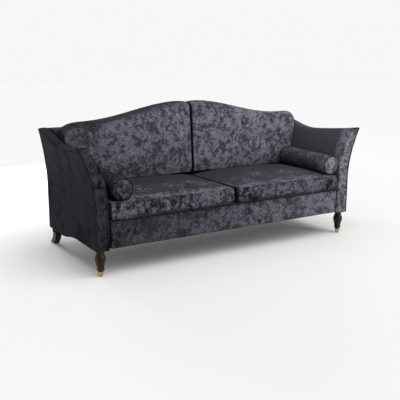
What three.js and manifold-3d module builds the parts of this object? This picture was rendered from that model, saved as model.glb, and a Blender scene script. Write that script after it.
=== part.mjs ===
import * as THREE from 'three';
import { mergeVertices } from 'three/addons/utils/BufferGeometryUtils.js';
import Module from 'manifold-3d';

const wasm = await Module();
wasm.setup();

// A two-cushion camelback sofa in millimetres. X runs along the sofa, Z is up, and Y runs from the
// front face of the arm facings to the back. Everything is described on the +X side and mirrored.

// Clearance between pieces that touch, and between a curved skin and what it covers.
const fit = 0.3;
const skinGap = 1.5;

// Body: plan and heights.
const bodyDepth = 845;
const baseHalfWidth = 970;
const facingBottom = 160;
const borderBottom = 165;
const deckHeight = 334.8;

// Arms: the outer and inner faces lean outward above the flare start, less so towards the back.
const flareStart = 420;
const armFrontHeight = 770;
const armDipDrop = 35;
const armDipHeight = armFrontHeight - armDipDrop;
const armRearRise = 33;
const armRearHeight = armFrontHeight + armRearRise;
const armDipShare = 0.509;
const armDipDepth = armDipShare * bodyDepth;
const armRiseEndInset = 15;
const armRiseEnd = bodyDepth - armRiseEndInset;
const armFlareFront = 94;
const armFlareRear = 38;
const armWidthBase = 82;
const armNarrowingFront = 24;
const armNarrowingRear = 13;
const outerFlarePower = 1.85;
const innerFlarePower = 2.1;
const armDipPower = 1.5;

// Lower edge of the outside arm: level in front, dropping over the rear leg.
const sideBottomFront = 160;
const sideBottomRear = 124;
const sideDropStartShare = 0.4;
const sideDropEndShare = 0.71;

// Camel line: a level crest, a cosine shoulder and level ends, for the back and for the back cushions.
const crestHalf = 40;
const camelEndInset = 170;
const camelEnd = baseHalfWidth - camelEndInset;
const backShoulder = armRearHeight;
const camelRise = 122;
const backCrest = backShoulder + camelRise;
const cushionShoulderRise = 50;
const cushionShoulder = backShoulder + cushionShoulderRise;
const cushionCamelRise = 109;
const cushionCrest = cushionShoulder + cushionCamelRise;

// Inside back: its face at deck height and how far it leans back over its height.
const backThickness = 160.5;
const insideBackDepth = bodyDepth - backThickness;
const insideBackLean = 31.5;

// Upholstery skins over the frame.
const coverThickness = 7;
const rollThickness = 18;
const facingThickness = 21.7;
const facingInset = 8;
const facingRound = 4;
const facingRoundDepth = 3;
const rollEdge = 6;
const deckPadThickness = 28;
const dustCoverThickness = 2;
const sewnPipingRadius = 3.2;
const borderThickness = 7.7;
const borderCrown = 2;
const borderEndGap = 7;
const insidePadDepth = 3.2;

// Hardwood frame.
const railThickness = 30;
const seatRailBottom = 178.3;
const seatRailTopDrop = 34.8;
const seatRailTop = deckHeight - seatRailTopDrop;
const rearRailBottom = 128;
const sideRailBottom = 183;
const armPostWidth = 50;
const armRailHeight = 45;
const backPostThickness = 50;
const backRailDepth = 69.7;
const topRailHeight = 70;
const lowerRailRise = 5.2;
const lowerRailBottom = deckHeight + lowerRailRise;
const lowerRailHeight = 60;
const centrePostWidth = 50;
const legBlockLength = 68;
const legBlockWidth = 71;

// Seat springs, their clips and the back webbing.
const springsPerSeat = 3;
const springWireRadius = 2;
const springHalfWidth = 24;
const springWaves = 8;
const springEndOverlap = 15;
const clipWidth = 22;
const clipLength = 18;
const clipThickness = 2;
const strapWidth = 50;
const strapThickness = 3;
const strapOverlap = 50;
const strapSpacing = 300;

// Seat cushions.
const cushionGap = 4;
const seatNose = 10;
const seatSideGap = 4;
const seatSeamRise = 102.2;
const seatSeamHeight = deckHeight + seatSeamRise;
const seatCrown = 35;
const seamDraw = 6;
const seatCornerDraw = 14;
const seatFrontPower = 3;
const seatSidePower = 4;

// Back cushions.
const backCushionRise = 28;
const backCushionBottom = seatSeamHeight + backCushionRise;
const backCushionThickness = 135.5;
const backCushionFront = insideBackDepth - backCushionThickness;
const backCushionLean = 36;
const backCushionCrown = 7;
const backCushionBoxing = 28;
const backCushionSideInset = 34;
const backCushionSide = baseHalfWidth - backCushionSideInset;
const backCushionSideGap = 4;
const backCushionCornerDrop = 32;
const backCushionGapDrop = 9;
const backCushionFoot = 12;
const cornerPower = 12;
const crownPower = 4;

// Bolsters.
const bolsterRadius = 65;
const bolsterSwell = 1.5;
const bolsterEndCrown = 9;
const bolsterEndSteps = 4;
const bolsterPipingRadius = 3;
const bolsterFrontDepth = 18;
const bolsterBackGap = 11;
const bolsterLength = backCushionFront - bolsterBackGap - bolsterFrontDepth;
const bolsterRise = 22;
const rightBolsterRise = 5.2;
const rightBolsterRestHeight = seatSeamHeight + rightBolsterRise;
const rightBolsterArmGap = 2.5;
const leftBolsterRise = 10.5;
const leftBolsterRestHeight = seatSeamHeight + leftBolsterRise;
const leftBolsterArmGap = 32.7;
const leftBolsterSwing = 14;

// Front legs: turned wood with a brass ferrule.
const legHeight = 160;
const frontLegInset = 38;
const frontLegX = baseHalfWidth - frontLegInset;
const frontLegY = 46;
const legCollarRadius = 25;
const legCollarHeight = 13;
const legNeckRadius = 20;
const legNeckHeight = 142;
const legBulgeRadius = 32.5;
const legBulgeHeight = 110;
const legTaperRadius = 25.5;
const legTaperHeight = 79;
const legWaistRadius = 21;
const legWaistHeight = 60;
const legSwellSteps = 8;
const legBeadRadius = 25;
const legBeadHeight = 47;
const legBeadHalf = 5;
const legBeadSteps = 4;
const ferruleHeight = 31;
const ferruleTopRadius = 16;
const ferruleFootRadius = 11;
const ferruleWall = 1.2;
const ferruleFloor = 4;
const studRadius = 4;
const studHoleRadius = 4.3;
const studHoleDepth = 45;
const studHoleFloor = 2;

// Rear legs: square section, straight under the fabric collar and swept back below it.
const rearLegInset = 20;
const rearLegWidth = 44;
const rearLegInner = baseHalfWidth - rearLegInset - rearLegWidth;
const rearLegFootWidth = 40;
const rearLegTopInset = 1;
const rearLegTopDepth = 56;
const rearLegFootDepth = 66;
const rearLegSweep = 70;
const rearLegTopBack = bodyDepth - rearLegTopInset;
const rearLegTopFront = rearLegTopBack - rearLegTopDepth;
const rearLegFootBack = rearLegTopBack + rearLegSweep;
const rearLegFootFront = rearLegFootBack - rearLegFootDepth;
const rearLegStraightTo = 90;
const rearLegSweepHeight = 45;
const collarThickness = 3;
const tenonRadius = 12;
const tenonLength = 38;

// Ring counts and facets.
const armStations = 13;
const backStations = 24;
const flareSteps = 6;
const latheFacets = 20;
const pipingSteps = 20;
const pipingSides = 8;
const springStepsPerWave = 4;
const wireSides = 5;

const smooth = (share) => share * share * (3 - 2 * share);
const within = (value, low, high) => Math.min(Math.max(value, low), high);
const shareBetween = (value, start, end) => within((value - start) / (end - start), 0, 1);
const mix = THREE.MathUtils.lerp;
const steps = (count) => Array.from({ length: count + 1 }, (_, i) => i / count);

// Half-width of the arm's outer face at a depth and height.
function outerX(y, z) {
  const rise = Math.max(0, (z - flareStart) / (armFrontHeight - flareStart));
  const flare = mix(armFlareFront, armFlareRear, y / bodyDepth);
  return baseHalfWidth + flare * rise ** outerFlarePower;
}

// Half-width of the arm's inner face at a depth and height.
function innerX(y, z) {
  const rise = Math.max(0, (z - flareStart) / (armFrontHeight - flareStart));
  const flare = mix(armFlareFront, armFlareRear, y / bodyDepth);
  const narrowing = mix(armNarrowingFront, armNarrowingRear, y / bodyDepth);
  return baseHalfWidth - armWidthBase + (flare + narrowing) * rise ** innerFlarePower;
}

// Top line of the arm: a dip from the front corner, then a sweep up to the back.
function armTop(y) {
  if (y < armDipDepth) {
    return armDipHeight + (armFrontHeight - armDipHeight) * (1 - y / armDipDepth) ** armDipPower;
  }
  return mix(armDipHeight, armRearHeight, smooth(shareBetween(y, armDipDepth, armRiseEnd)));
}

const sideDropShare = (y) => smooth(shareBetween(y / bodyDepth, sideDropStartShare, sideDropEndShare));
const sideBottom = (y) => mix(sideBottomFront, sideBottomRear, sideDropShare(y));
const hump = (x) => (1 + Math.cos(Math.PI * shareBetween(Math.abs(x), crestHalf, camelEnd))) / 2;
const backTop = (x) => mix(backShoulder, backCrest, hump(x));
const cushionTop = (x) => mix(cushionShoulder, cushionCrest, hump(x));
const insideBack = (z) => insideBackDepth + insideBackLean * (z - deckHeight) / (backCrest - deckHeight);

// Depths where one group of pieces ends and the next begins.
const frameFront = facingThickness + fit;
const backFrameFront = bodyDepth - coverThickness - fit - backRailDepth;
const padBack = backFrameFront - fit - insidePadDepth - fit;
const backFrameBack = bodyDepth - coverThickness - fit;
const armFrameGap = coverThickness + skinGap;
const underRoll = rollThickness + skinGap;

// A closed solid through rings of points, station by station. Each ring goes out along one face and
// back along the other, so its flat ends are strips between the two.
function solidThroughRings(rings) {
  const ringSize = rings[0].length;
  const index = [];
  const addQuad = (a, b, c, d) => index.push(a, b, c, a, c, d);
  for (let station = 0; station + 1 < rings.length; station += 1) {
    for (let i = 0; i < ringSize; i += 1) {
      const a = station * ringSize + i;
      const b = station * ringSize + (i + 1) % ringSize;
      addQuad(a, b, b + ringSize, a + ringSize);
    }
  }
  const last = (rings.length - 1) * ringSize;
  for (let i = 0; i + 1 < ringSize / 2; i += 1) {
    const across = ringSize - 1 - i;
    addQuad(across, across - 1, i + 1, i);
    addQuad(last + i, last + i + 1, last + across - 1, last + across);
  }
  const geometry = new THREE.BufferGeometry();
  const vertices = rings.flat().flatMap((point) => [point.x, point.y, point.z]);
  geometry.setAttribute('position', new THREE.Float32BufferAttribute(vertices, 3));
  geometry.setIndex(index);
  return facingOut(geometry);
}

function turnInsideOut(geometry) {
  const index = geometry.index.array;
  for (let i = 0; i < index.length; i += 3) {
    [index[i + 1], index[i + 2]] = [index[i + 2], index[i + 1]];
  }
}

// Turns the faces outward if the solid's signed volume is negative.
function facingOut(geometry) {
  const position = geometry.attributes.position;
  const index = geometry.index.array;
  const [a, b, c] = [new THREE.Vector3(), new THREE.Vector3(), new THREE.Vector3()];
  let volume = 0;
  for (let i = 0; i < index.length; i += 3) {
    a.fromBufferAttribute(position, index[i]);
    b.fromBufferAttribute(position, index[i + 1]);
    c.fromBufferAttribute(position, index[i + 2]);
    volume += a.dot(b.cross(c));
  }
  if (volume < 0) turnInsideOut(geometry);
  geometry.computeVertexNormals();
  return geometry;
}

function mirrored(geometry) {
  const copy = geometry.clone();
  copy.scale(-1, 1, 1);
  turnInsideOut(copy);
  copy.computeVertexNormals();
  return copy;
}

// Shared vertices merged, so that the surface is one closed mesh.
function sealed(geometry) {
  geometry.deleteAttribute('normal');
  geometry.deleteAttribute('uv');
  const merged = mergeVertices(geometry);
  merged.computeVertexNormals();
  return merged;
}

// A geometry as a solid that can be joined and cut, and back again.
function solidOf(geometry) {
  const merged = sealed(geometry.clone());
  const vertProperties = Float32Array.from(merged.attributes.position.array);
  const triVerts = Uint32Array.from(merged.index.array);
  return new wasm.Manifold(new wasm.Mesh({ numProp: 3, vertProperties, triVerts }));
}

function geometryOf(solid) {
  const mesh = solid.getMesh();
  const geometry = new THREE.BufferGeometry();
  geometry.setAttribute('position', new THREE.Float32BufferAttribute(mesh.vertProperties, 3));
  geometry.setIndex(Array.from(mesh.triVerts));
  geometry.computeVertexNormals();
  return geometry;
}

const cut = (geometry, tool) => geometryOf(solidOf(geometry).subtract(solidOf(tool)));
const join = (geometry, other) => geometryOf(solidOf(geometry).add(solidOf(other)));

const point = (x, y, z) => new THREE.Vector3(x, y, z);

function box(x0, x1, y0, y1, z0, z1) {
  const geometry = new THREE.BoxGeometry(x1 - x0, y1 - y0, z1 - z0);
  geometry.translate((x0 + x1) / 2, (y0 + y1) / 2, (z0 + z1) / 2);
  return sealed(geometry);
}

function cylinder(radius, x, y, z0, z1) {
  const geometry = new THREE.CylinderGeometry(radius, radius, z1 - z0, latheFacets);
  geometry.rotateX(Math.PI / 2);
  geometry.translate(x, y, (z0 + z1) / 2);
  return sealed(geometry);
}

// A tube of a given radius along a curve.
function tube(curve, radius, sides, stepCount) {
  const section = new THREE.Shape();
  for (let i = 0; i < sides; i += 1) {
    const angle = 2 * Math.PI * i / sides;
    const [x, y] = [radius * Math.cos(angle), radius * Math.sin(angle)];
    if (i === 0) section.moveTo(x, y);
    else section.lineTo(x, y);
  }
  const options = { steps: stepCount, extrudePath: curve, bevelEnabled: false };
  return facingOut(sealed(new THREE.ExtrudeGeometry(section, options)));
}

// Heights at which a piece follows the flare: one below it, then even steps up to its top.
function levels(bottom, top) {
  if (bottom >= flareStart) return steps(2).map((rise) => mix(bottom, top, rise));
  return [bottom, ...steps(flareSteps).map((rise) => mix(flareStart, top, rise))];
}

// A piece of the arm: outer and inner faces given by functions of depth and height, between a lower
// and an upper line, from one depth to another.
function armPiece(front, back, stationCount, bottom, top, outerFace, innerFace) {
  const rings = steps(stationCount).map((share) => {
    const y = mix(front, back, share);
    const heights = levels(bottom(y), top(y));
    const outer = heights.map((z) => point(outerFace(y, z), y, z));
    const inner = heights.map((z) => point(innerFace(y, z), y, z)).reverse();
    return [...outer, ...inner];
  });
  return solidThroughRings(rings);
}

// A piece of the back: rings in Y and Z at stations along X, each ring point reaching as far out as
// the end face given by a function of depth and height, which is upright above the shoulder.
function backPiece(stationCount, endFace, ringAt) {
  const rings = steps(stationCount).map((share) => {
    const side = 2 * share - 1;
    const reach = (y, z) => side * endFace(y, Math.min(z, backShoulder));
    return ringAt(reach(bodyDepth, backShoulder)).map(([y, z]) => point(reach(y, z), y, z));
  });
  return solidThroughRings(rings);
}

// Outside arm cover, with the lower edge that drops over the rear leg.
function armCover() {
  const top = (y) => armTop(y) - underRoll;
  const inside = (y, z) => outerX(y, z) - coverThickness;
  return armPiece(frameFront, bodyDepth, armStations, sideBottom, top, outerX, inside);
}

// Inside arm pad, from the deck up to the top roll.
function armPad() {
  const bottom = () => deckHeight + fit;
  const top = (y) => armTop(y) - underRoll;
  const outside = (y, z) => outerX(y, z) - armFrameGap - railThickness - skinGap;
  return armPiece(frameFront, padBack, armStations, bottom, top, outside, innerX);
}

// Rounded roll along the top of the arm, from the facing to the back corner.
function armRoll() {
  const rings = steps(armStations + 4).map((share) => {
    const y = mix(frameFront, bodyDepth, share);
    const high = armTop(y);
    const low = high - rollThickness;
    const edge = high - rollEdge;
    return [
      point(outerX(y, low), y, low),
      point(outerX(y, edge), y, edge),
      point(outerX(y, high) - rollEdge, y, high),
      point(innerX(y, high) + rollEdge, y, high),
      point(innerX(y, edge), y, edge),
      point(innerX(y, low), y, low),
    ];
  });
  return solidThroughRings(rings);
}

// Padded facing on the front of the arm: a rounded front edge, stepped back round the piping.
function armFacing() {
  const ringAt = (y, outerInset, innerInset) => {
    const heights = levels(facingBottom + innerInset, armFrontHeight - outerInset);
    const outer = heights.map((z) => point(outerX(0, z) - outerInset, y, z));
    const inner = heights.map((z) => point(innerX(0, z) + innerInset, y, z)).reverse();
    return [...outer, ...inner];
  };
  const stepBack = 2 * (sewnPipingRadius + fit);
  return solidThroughRings([
    ringAt(0, facingInset + facingRound, facingRound),
    ringAt(facingRoundDepth, facingInset, 0),
    ringAt(stepBack, facingInset, 0),
    ringAt(stepBack + fit, 0, 0),
    ringAt(facingThickness, 0, 0),
  ]);
}

// Piping round the front of the facing, up its outer edge and over its top.
function facingPiping() {
  const y = sewnPipingRadius;
  const inset = sewnPipingRadius + fit;
  const low = facingBottom + inset;
  const high = armFrontHeight - inset;
  const edge = levels(low, high).map((z) => point(outerX(0, z) - inset, y, z));
  const inner = point(innerX(0, high) + inset, y, high);
  const side = tube(new THREE.CatmullRomCurve3(edge), sewnPipingRadius, pipingSides, pipingSteps);
  return join(side, tube(new THREE.LineCurve3(edge.at(-1), inner), sewnPipingRadius, pipingSides, 1));
}

// Padded border under the seat cushions, and the piping along its top.
function frontBorder() {
  const back = facingThickness;
  const front = back - borderThickness;
  const half = innerX(0, deckHeight) - borderEndGap;
  const low = borderBottom;
  const high = deckHeight - fit;
  const middle = (low + high) / 2;
  const side = front + borderCrown;
  const ring = [[side, low], [front, middle], [side, high], [back, high], [back, middle], [back, low]];
  return backPiece(1, () => half, () => ring);
}

function borderPiping() {
  const half = innerX(0, deckHeight) - borderEndGap;
  const y = facingThickness - borderThickness + borderCrown - fit - sewnPipingRadius;
  const z = deckHeight - sewnPipingRadius;
  const curve = new THREE.LineCurve3(point(-half, y, z), point(half, y, z));
  return tube(curve, sewnPipingRadius, pipingSides, 1);
}

// Inside back pad between the arms.
function backPad() {
  const low = deckHeight + fit;
  return backPiece(backStations, (y, z) => innerX(y, z) - skinGap, (x) => {
    const high = backTop(x) - underRoll;
    const heights = levels(low, high);
    const front = heights.map((z) => [insideBack(z), z]);
    const back = heights.map((z) => [padBack, z]).reverse();
    return [...front, ...back];
  });
}

// Rounded roll over the top of the back, between the two arm rolls.
function backRoll() {
  return backPiece(backStations, (y, z) => innerX(y, z) - skinGap, (x) => {
    const high = backTop(x);
    const low = high - rollThickness;
    const edge = high - rollEdge;
    const front = insideBack(high);
    return [[front, low], [bodyDepth, low], [bodyDepth, edge], [bodyDepth - rollEdge, high],
      [front + rollEdge, high], [front, edge]];
  });
}

// Outside back cover, between the outside arm covers.
function backCover() {
  const front = bodyDepth - coverThickness;
  return backPiece(backStations, (y, z) => outerX(y, z) - armFrameGap, (x) => {
    const high = backTop(x) - underRoll;
    const heights = levels(sideBottomRear, high);
    const inner = heights.map((z) => [front, z]);
    const outer = heights.map((z) => [bodyDepth, z]).reverse();
    return [...inner, ...outer];
  });
}

// Hardwood posts and rails inside the arms.
function armPost() {
  const top = (y) => armTop(y) - underRoll;
  const outside = (y, z) => outerX(y, z) - armFrameGap;
  const inside = (y, z) => outside(y, z) - railThickness;
  return armPiece(frameFront, frameFront + armPostWidth, 2, () => seatRailBottom, top, outside, inside);
}

function armRail() {
  const top = (y) => armTop(y) - underRoll;
  const bottom = (y) => top(y) - armRailHeight;
  const outside = (y, z) => outerX(y, z) - armFrameGap;
  const inside = (y, z) => outside(y, z) - railThickness;
  const front = frameFront + armPostWidth + fit;
  return armPiece(front, backFrameFront - fit, armStations, bottom, top, outside, inside);
}

// The back posts stand over the rear legs, and each has a hole for the leg's tenon.
function backPost() {
  const top = (y) => armTop(y) - underRoll;
  const outside = (y, z) => outerX(y, z) - armFrameGap;
  const inside = (y, z) => outside(y, z) - backPostThickness;
  const post = armPiece(backFrameFront, backFrameBack, 2, () => sideBottomRear + fit, top, outside, inside);
  const holeTop = sideBottomRear + tenonLength + studHoleFloor;
  const hole = cylinder(tenonRadius + fit, tenonX, tenonY, sideBottomRear - fit, holeTop);
  return cut(post, hole);
}

const postInner = (y, z) => outerX(y, z) - armFrameGap - backPostThickness - skinGap;

// Top rail of the back, cut to the camel line and kept under the arm rolls at its ends.
const topRailDrop = armRearHeight - armTop(backFrameFront);

function backTopRail() {
  return backPiece(backStations, postInner, (x) => {
    const high = backTop(x) - underRoll - topRailDrop;
    const low = high - topRailHeight;
    return [[backFrameFront, low], [backFrameBack, low], [backFrameBack, high], [backFrameFront, high]];
  });
}

function backLowerRail() {
  const half = baseHalfWidth - armFrameGap - backPostThickness - fit;
  const back = backFrameFront + railThickness;
  return box(-half, half, backFrameFront, back, lowerRailBottom, lowerRailBottom + lowerRailHeight);
}

function backCentrePost() {
  const half = centrePostWidth / 2;
  const front = backFrameFront + railThickness + fit;
  const top = backTop(0) - underRoll - topRailDrop - topRailHeight - skinGap;
  return box(-half, half, front, backFrameBack, rearRailBottom, top);
}

// Seat rails.
const sideRailInner = baseHalfWidth - armFrameGap - railThickness;

function frontSeatRail() {
  const half = sideRailInner - fit;
  return box(-half, half, frameFront, frameFront + railThickness, seatRailBottom, seatRailTop);
}

function rearSeatRail() {
  const half = baseHalfWidth - armFrameGap - backPostThickness - fit;
  const back = backFrameFront + railThickness;
  return box(-half, half, backFrameFront, back, rearRailBottom, seatRailTop);
}

function sideSeatRail() {
  const front = frameFront + armPostWidth + fit;
  const outer = sideRailInner + railThickness;
  return box(sideRailInner, outer, front, backFrameFront - fit, sideRailBottom, seatRailTop);
}

function centreSeatRail() {
  const half = railThickness / 2;
  const front = frameFront + railThickness + fit;
  return box(-half, half, front, backFrameFront - fit, seatRailBottom, seatRailTop - railThickness);
}

// Block under each front corner, with a hole for the leg's stud.
function legBlock() {
  const outer = sideRailInner + railThickness;
  const back = frameFront + legBlockLength;
  const [bottom, top] = [legHeight + fit, seatRailBottom - fit];
  const block = box(outer - legBlockWidth, outer, frameFront, back, bottom, top);
  return cut(block, cylinder(studHoleRadius, frontLegX, frontLegY, legHeight, seatRailBottom));
}

// A bent wire from the front seat rail to the rear one, lying on its clips.
class SpringWire extends THREE.Curve {
  constructor(x) {
    super();
    this.x = x;
  }

  getPoint(share, target = new THREE.Vector3()) {
    const y = mix(springFront, springBack, share);
    const swing = springHalfWidth * Math.sin(2 * Math.PI * springWaves * share);
    return target.set(this.x + swing, y, springHeight);
  }
}

const springFront = frameFront + springEndOverlap;
const springBack = backFrameFront + springEndOverlap;
const springHeight = seatRailTop + fit + clipThickness + springWireRadius;
const springSpacing = sideRailInner / springsPerSeat;
const springX = (i) => springSpacing * (i - 1 / 2);

// One spring with the clips that hold its ends to the rails.
function seatSpring(x) {
  const stepCount = springWaves * springStepsPerWave;
  const wire = tube(new SpringWire(x), springWireRadius, wireSides, stepCount);
  const low = seatRailTop + fit;
  const [halfX, halfY] = [clipWidth / 2, clipLength / 2];
  return [springFront, springBack].reduce(
    (spring, y) => join(spring, box(x - halfX, x + halfX, y - halfY, y + halfY, low, springHeight)),
    wire,
  );
}

// Platform over the springs, under the seat cushions.
function deckPad() {
  const half = sideRailInner - fit;
  return box(-half, half, frameFront, padBack, deckHeight - deckPadThickness, deckHeight);
}

// Cloth under the seat frame, notched round the front leg blocks.
function dustCover() {
  const half = sideRailInner + railThickness;
  const notchX = half - legBlockWidth - fit;
  const front = frameFront;
  const notchY = frameFront + legBlockLength + fit;
  const back = backFrameFront - fit;
  const shape = new THREE.Shape();
  shape.moveTo(-notchX, front);
  shape.lineTo(notchX, front);
  shape.lineTo(notchX, notchY);
  shape.lineTo(half, notchY);
  shape.lineTo(half, back);
  shape.lineTo(-half, back);
  shape.lineTo(-half, notchY);
  shape.lineTo(-notchX, notchY);
  shape.closePath();
  const geometry = new THREE.ExtrudeGeometry(shape, { depth: dustCoverThickness, bevelEnabled: false });
  geometry.translate(0, 0, seatRailBottom - fit - dustCoverThickness);
  return sealed(geometry);
}

// Elastic webbing on the front of the back frame, from the lower rail to the top rail.
function backStrap(x) {
  const half = strapWidth / 2;
  const top = backTop(x) - rollThickness - topRailHeight + strapOverlap;
  const front = backFrameFront - fit - strapThickness;
  return box(x - half, x + half, front, front + strapThickness, lowerRailBottom, top);
}

// A unit block from -1 to 1 whose vertices a formula moves into a soft form.
function softForm(segmentsX, segmentsY, segmentsZ, shapeAt) {
  const geometry = sealed(new THREE.BoxGeometry(2, 2, 2, segmentsX, segmentsY, segmentsZ));
  const position = geometry.attributes.position;
  const even = (value) => Math.sin(value * Math.PI / 2);
  for (let i = 0; i < position.count; i += 1) {
    const [u, v, w] = [position.getX(i), position.getY(i), position.getZ(i)];
    const [x, y, z] = shapeAt(even(u), even(v), w);
    position.setXYZ(i, x, y, z);
  }
  return facingOut(geometry);
}

const seatOuter = innerX(0, deckHeight) - seatSideGap;

// Seat cushion: a flat base, bulging boxing between its seams and a crowned top.
function seatCushion() {
  const [inner, outer] = [cushionGap / 2, seatOuter];
  const [front, back] = [-seatNose, insideBack(deckHeight) - fit];
  const [middleX, halfX] = [(inner + outer) / 2, (outer - inner) / 2];
  const [middleY, halfY] = [(front + back) / 2, (back - front) / 2];
  const bottom = deckHeight + fit;
  return softForm(14, 12, 2, (u, v, w) => {
    const rise = (w + 1) / 2;
    const x = middleX + u * (halfX - seamDraw * w ** 2 - seatCornerDraw * Math.abs(v) ** cornerPower);
    const y = middleY + v * (halfY - seamDraw * w ** 2 - seatCornerDraw * Math.abs(u) ** cornerPower);
    const dome = (1 - Math.abs(u) ** seatSidePower) * (1 - Math.abs(v) ** seatFrontPower);
    return [x, y, mix(bottom, seatSeamHeight + seatCrown * dome, rise)];
  });
}

// Back cushion: leaning crowned front, camel-line top with a rounded boxing, dropped outer corner.
function backCushion() {
  const inner = cushionGap / 2;
  return softForm(14, 4, 10, (u, v, w) => {
    const rise = (w + 1) / 2;
    const reach = (u + 1) / 2;
    const sideLimit = (z) => Math.min(backCushionSide, innerX(insideBackDepth, z) - backCushionSideGap);
    const plainX = mix(inner, backCushionSide, reach);
    const cornerDrop = u > 0 ? backCushionCornerDrop : backCushionGapDrop;
    const top = cushionTop(plainX) - backCushionBoxing * v ** 2 - cornerDrop * Math.abs(u) ** cornerPower;
    const z = mix(backCushionBottom, top, rise);
    const x = mix(inner, sideLimit(z), reach) - seamDraw * u * v ** 2;
    const lean = (z - backCushionBottom) / (cushionCrest - backCushionBottom);
    const dome = (1 - Math.abs(u) ** crownPower) * (1 - Math.abs(w) ** crownPower);
    const foot = backCushionFoot * Math.max(0, -w) ** cornerPower;
    const frontY = backCushionFront + backCushionLean * lean - backCushionCrown * dome + foot;
    const backY = insideBack(z) - fit - seamDraw * Math.abs(u) ** cornerPower;
    return [Math.max(x, inner), mix(frontY, backY, (v + 1) / 2), z];
  });
}

// Bolster: a softly swelling roll with piped, crowned ends, tilted to lie on the seat's crown.
function bolsterRoll() {
  const half = bolsterLength / 2;
  const pipe = bolsterPipingRadius;
  const profile = [new THREE.Vector2(0, half)];
  for (const share of steps(bolsterEndSteps).slice(1)) {
    const across = (bolsterRadius - pipe) * share;
    profile.push(new THREE.Vector2(across, half - bolsterEndCrown * (across / bolsterRadius) ** 2));
  }
  const seam = half - bolsterEndCrown;
  profile.push(new THREE.Vector2(bolsterRadius, seam));
  profile.push(new THREE.Vector2(bolsterRadius + pipe / 2, seam - pipe));
  profile.push(new THREE.Vector2(bolsterRadius, seam - 2 * pipe));
  for (const share of steps(2)) {
    const along = mix(seam - 4 * pipe, 0, share);
    profile.push(new THREE.Vector2(bolsterRadius - pipe / 2 + bolsterSwell * share, along));
  }
  const mirroredHalf = profile.slice(0, -1).reverse().map((p) => new THREE.Vector2(p.x, -p.y));
  return facingOut(sealed(new THREE.LatheGeometry([...profile, ...mirroredHalf], latheFacets)));
}

// Turned front leg with a stud hole in its top and a tip that sits in the ferrule.
function frontLeg() {
  const under = legHeight - legCollarHeight;
  const profile = [
    [0, legHeight - studHoleDepth],
    [studHoleRadius, legHeight - studHoleDepth],
    [studHoleRadius, legHeight],
    [legCollarRadius, legHeight],
    [legCollarRadius, under],
    [legNeckRadius, legNeckHeight],
  ].map(([r, z]) => new THREE.Vector2(r, z));
  const swell = new THREE.SplineCurve([
    new THREE.Vector2(legNeckRadius, legNeckHeight),
    new THREE.Vector2(legBulgeRadius, legBulgeHeight),
    new THREE.Vector2(legTaperRadius, legTaperHeight),
    new THREE.Vector2(legWaistRadius, legWaistHeight),
  ]);
  profile.push(...swell.getPoints(legSwellSteps).slice(1));
  for (const share of steps(legBeadSteps)) {
    const angle = Math.PI * share;
    const grow = legBeadRadius - legWaistRadius;
    const z = legBeadHeight + legBeadHalf * Math.cos(angle);
    profile.push(new THREE.Vector2(legWaistRadius + grow * Math.sin(angle), z));
  }
  profile.push(new THREE.Vector2(ferruleTopRadius, ferruleHeight + fit));
  profile.push(new THREE.Vector2(ferruleTopRadius - ferruleWall - fit, ferruleHeight + fit));
  profile.push(new THREE.Vector2(ferruleFootRadius - ferruleWall - fit, ferruleFloor + fit));
  profile.push(new THREE.Vector2(0, ferruleFloor + fit));
  return turnedUp(profile);
}

// Brass cup on the tip of the front leg.
function ferrule() {
  const profile = [
    [0, 0],
    [ferruleFootRadius, 0],
    [ferruleTopRadius, ferruleHeight],
    [ferruleTopRadius - ferruleWall, ferruleHeight],
    [ferruleFootRadius - ferruleWall, ferruleFloor],
    [0, ferruleFloor],
  ].map(([r, z]) => new THREE.Vector2(r, z));
  return turnedUp(profile);
}

function turnedUp(profile) {
  const geometry = new THREE.LatheGeometry(profile, latheFacets);
  geometry.rotateX(Math.PI / 2);
  geometry.translate(frontLegX, frontLegY, 0);
  return facingOut(sealed(geometry));
}

// Rear leg: a tenon in the back post, straight under the collar, then swept back to a slimmer foot.
function rearLeg() {
  const top = sideBottomRear;
  const shape = new THREE.Shape();
  shape.moveTo(rearLegTopFront, top);
  shape.lineTo(rearLegTopFront, rearLegStraightTo);
  shape.quadraticCurveTo(rearLegTopFront, rearLegSweepHeight, rearLegFootFront, 0);
  shape.lineTo(rearLegFootBack, 0);
  shape.quadraticCurveTo(rearLegTopBack, rearLegSweepHeight, rearLegTopBack, rearLegStraightTo);
  shape.lineTo(rearLegTopBack, top);
  shape.closePath();
  const options = { depth: rearLegWidth, bevelEnabled: false, curveSegments: 8 };
  const geometry = sealed(new THREE.ExtrudeGeometry(shape, options));
  const position = geometry.attributes.position;
  const trim = (rearLegWidth - rearLegFootWidth) / 2;
  for (let i = 0; i < position.count; i += 1) {
    const [y, z, across] = [position.getX(i), position.getY(i), position.getZ(i)];
    const slim = trim * shareBetween(z, rearLegStraightTo, 0);
    const x = mix(rearLegInner + slim, rearLegInner + rearLegWidth - slim, across / rearLegWidth);
    position.setXYZ(i, x, y, z);
  }
  const tenon = cylinder(tenonRadius, tenonX, tenonY, rearLegStraightTo, top + tenonLength);
  return join(facingOut(geometry), tenon);
}

// Fabric collar round the top of the rear leg.
function rearLegCollar() {
  const [x0, x1] = [rearLegInner - fit, rearLegInner + rearLegWidth + fit];
  const [y0, y1] = [rearLegTopFront - fit, rearLegTopBack + fit];
  const rectangle = (grow) => [
    new THREE.Vector2(x0 - grow, y0 - grow),
    new THREE.Vector2(x1 + grow, y0 - grow),
    new THREE.Vector2(x1 + grow, y1 + grow),
    new THREE.Vector2(x0 - grow, y1 + grow),
  ];
  const shape = new THREE.Shape(rectangle(collarThickness));
  shape.holes.push(new THREE.Path(rectangle(0)));
  const depth = sideBottomRear - fit - rearLegStraightTo;
  const geometry = new THREE.ExtrudeGeometry(shape, { depth, bevelEnabled: false });
  geometry.translate(0, 0, rearLegStraightTo);
  return sealed(geometry);
}

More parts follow.
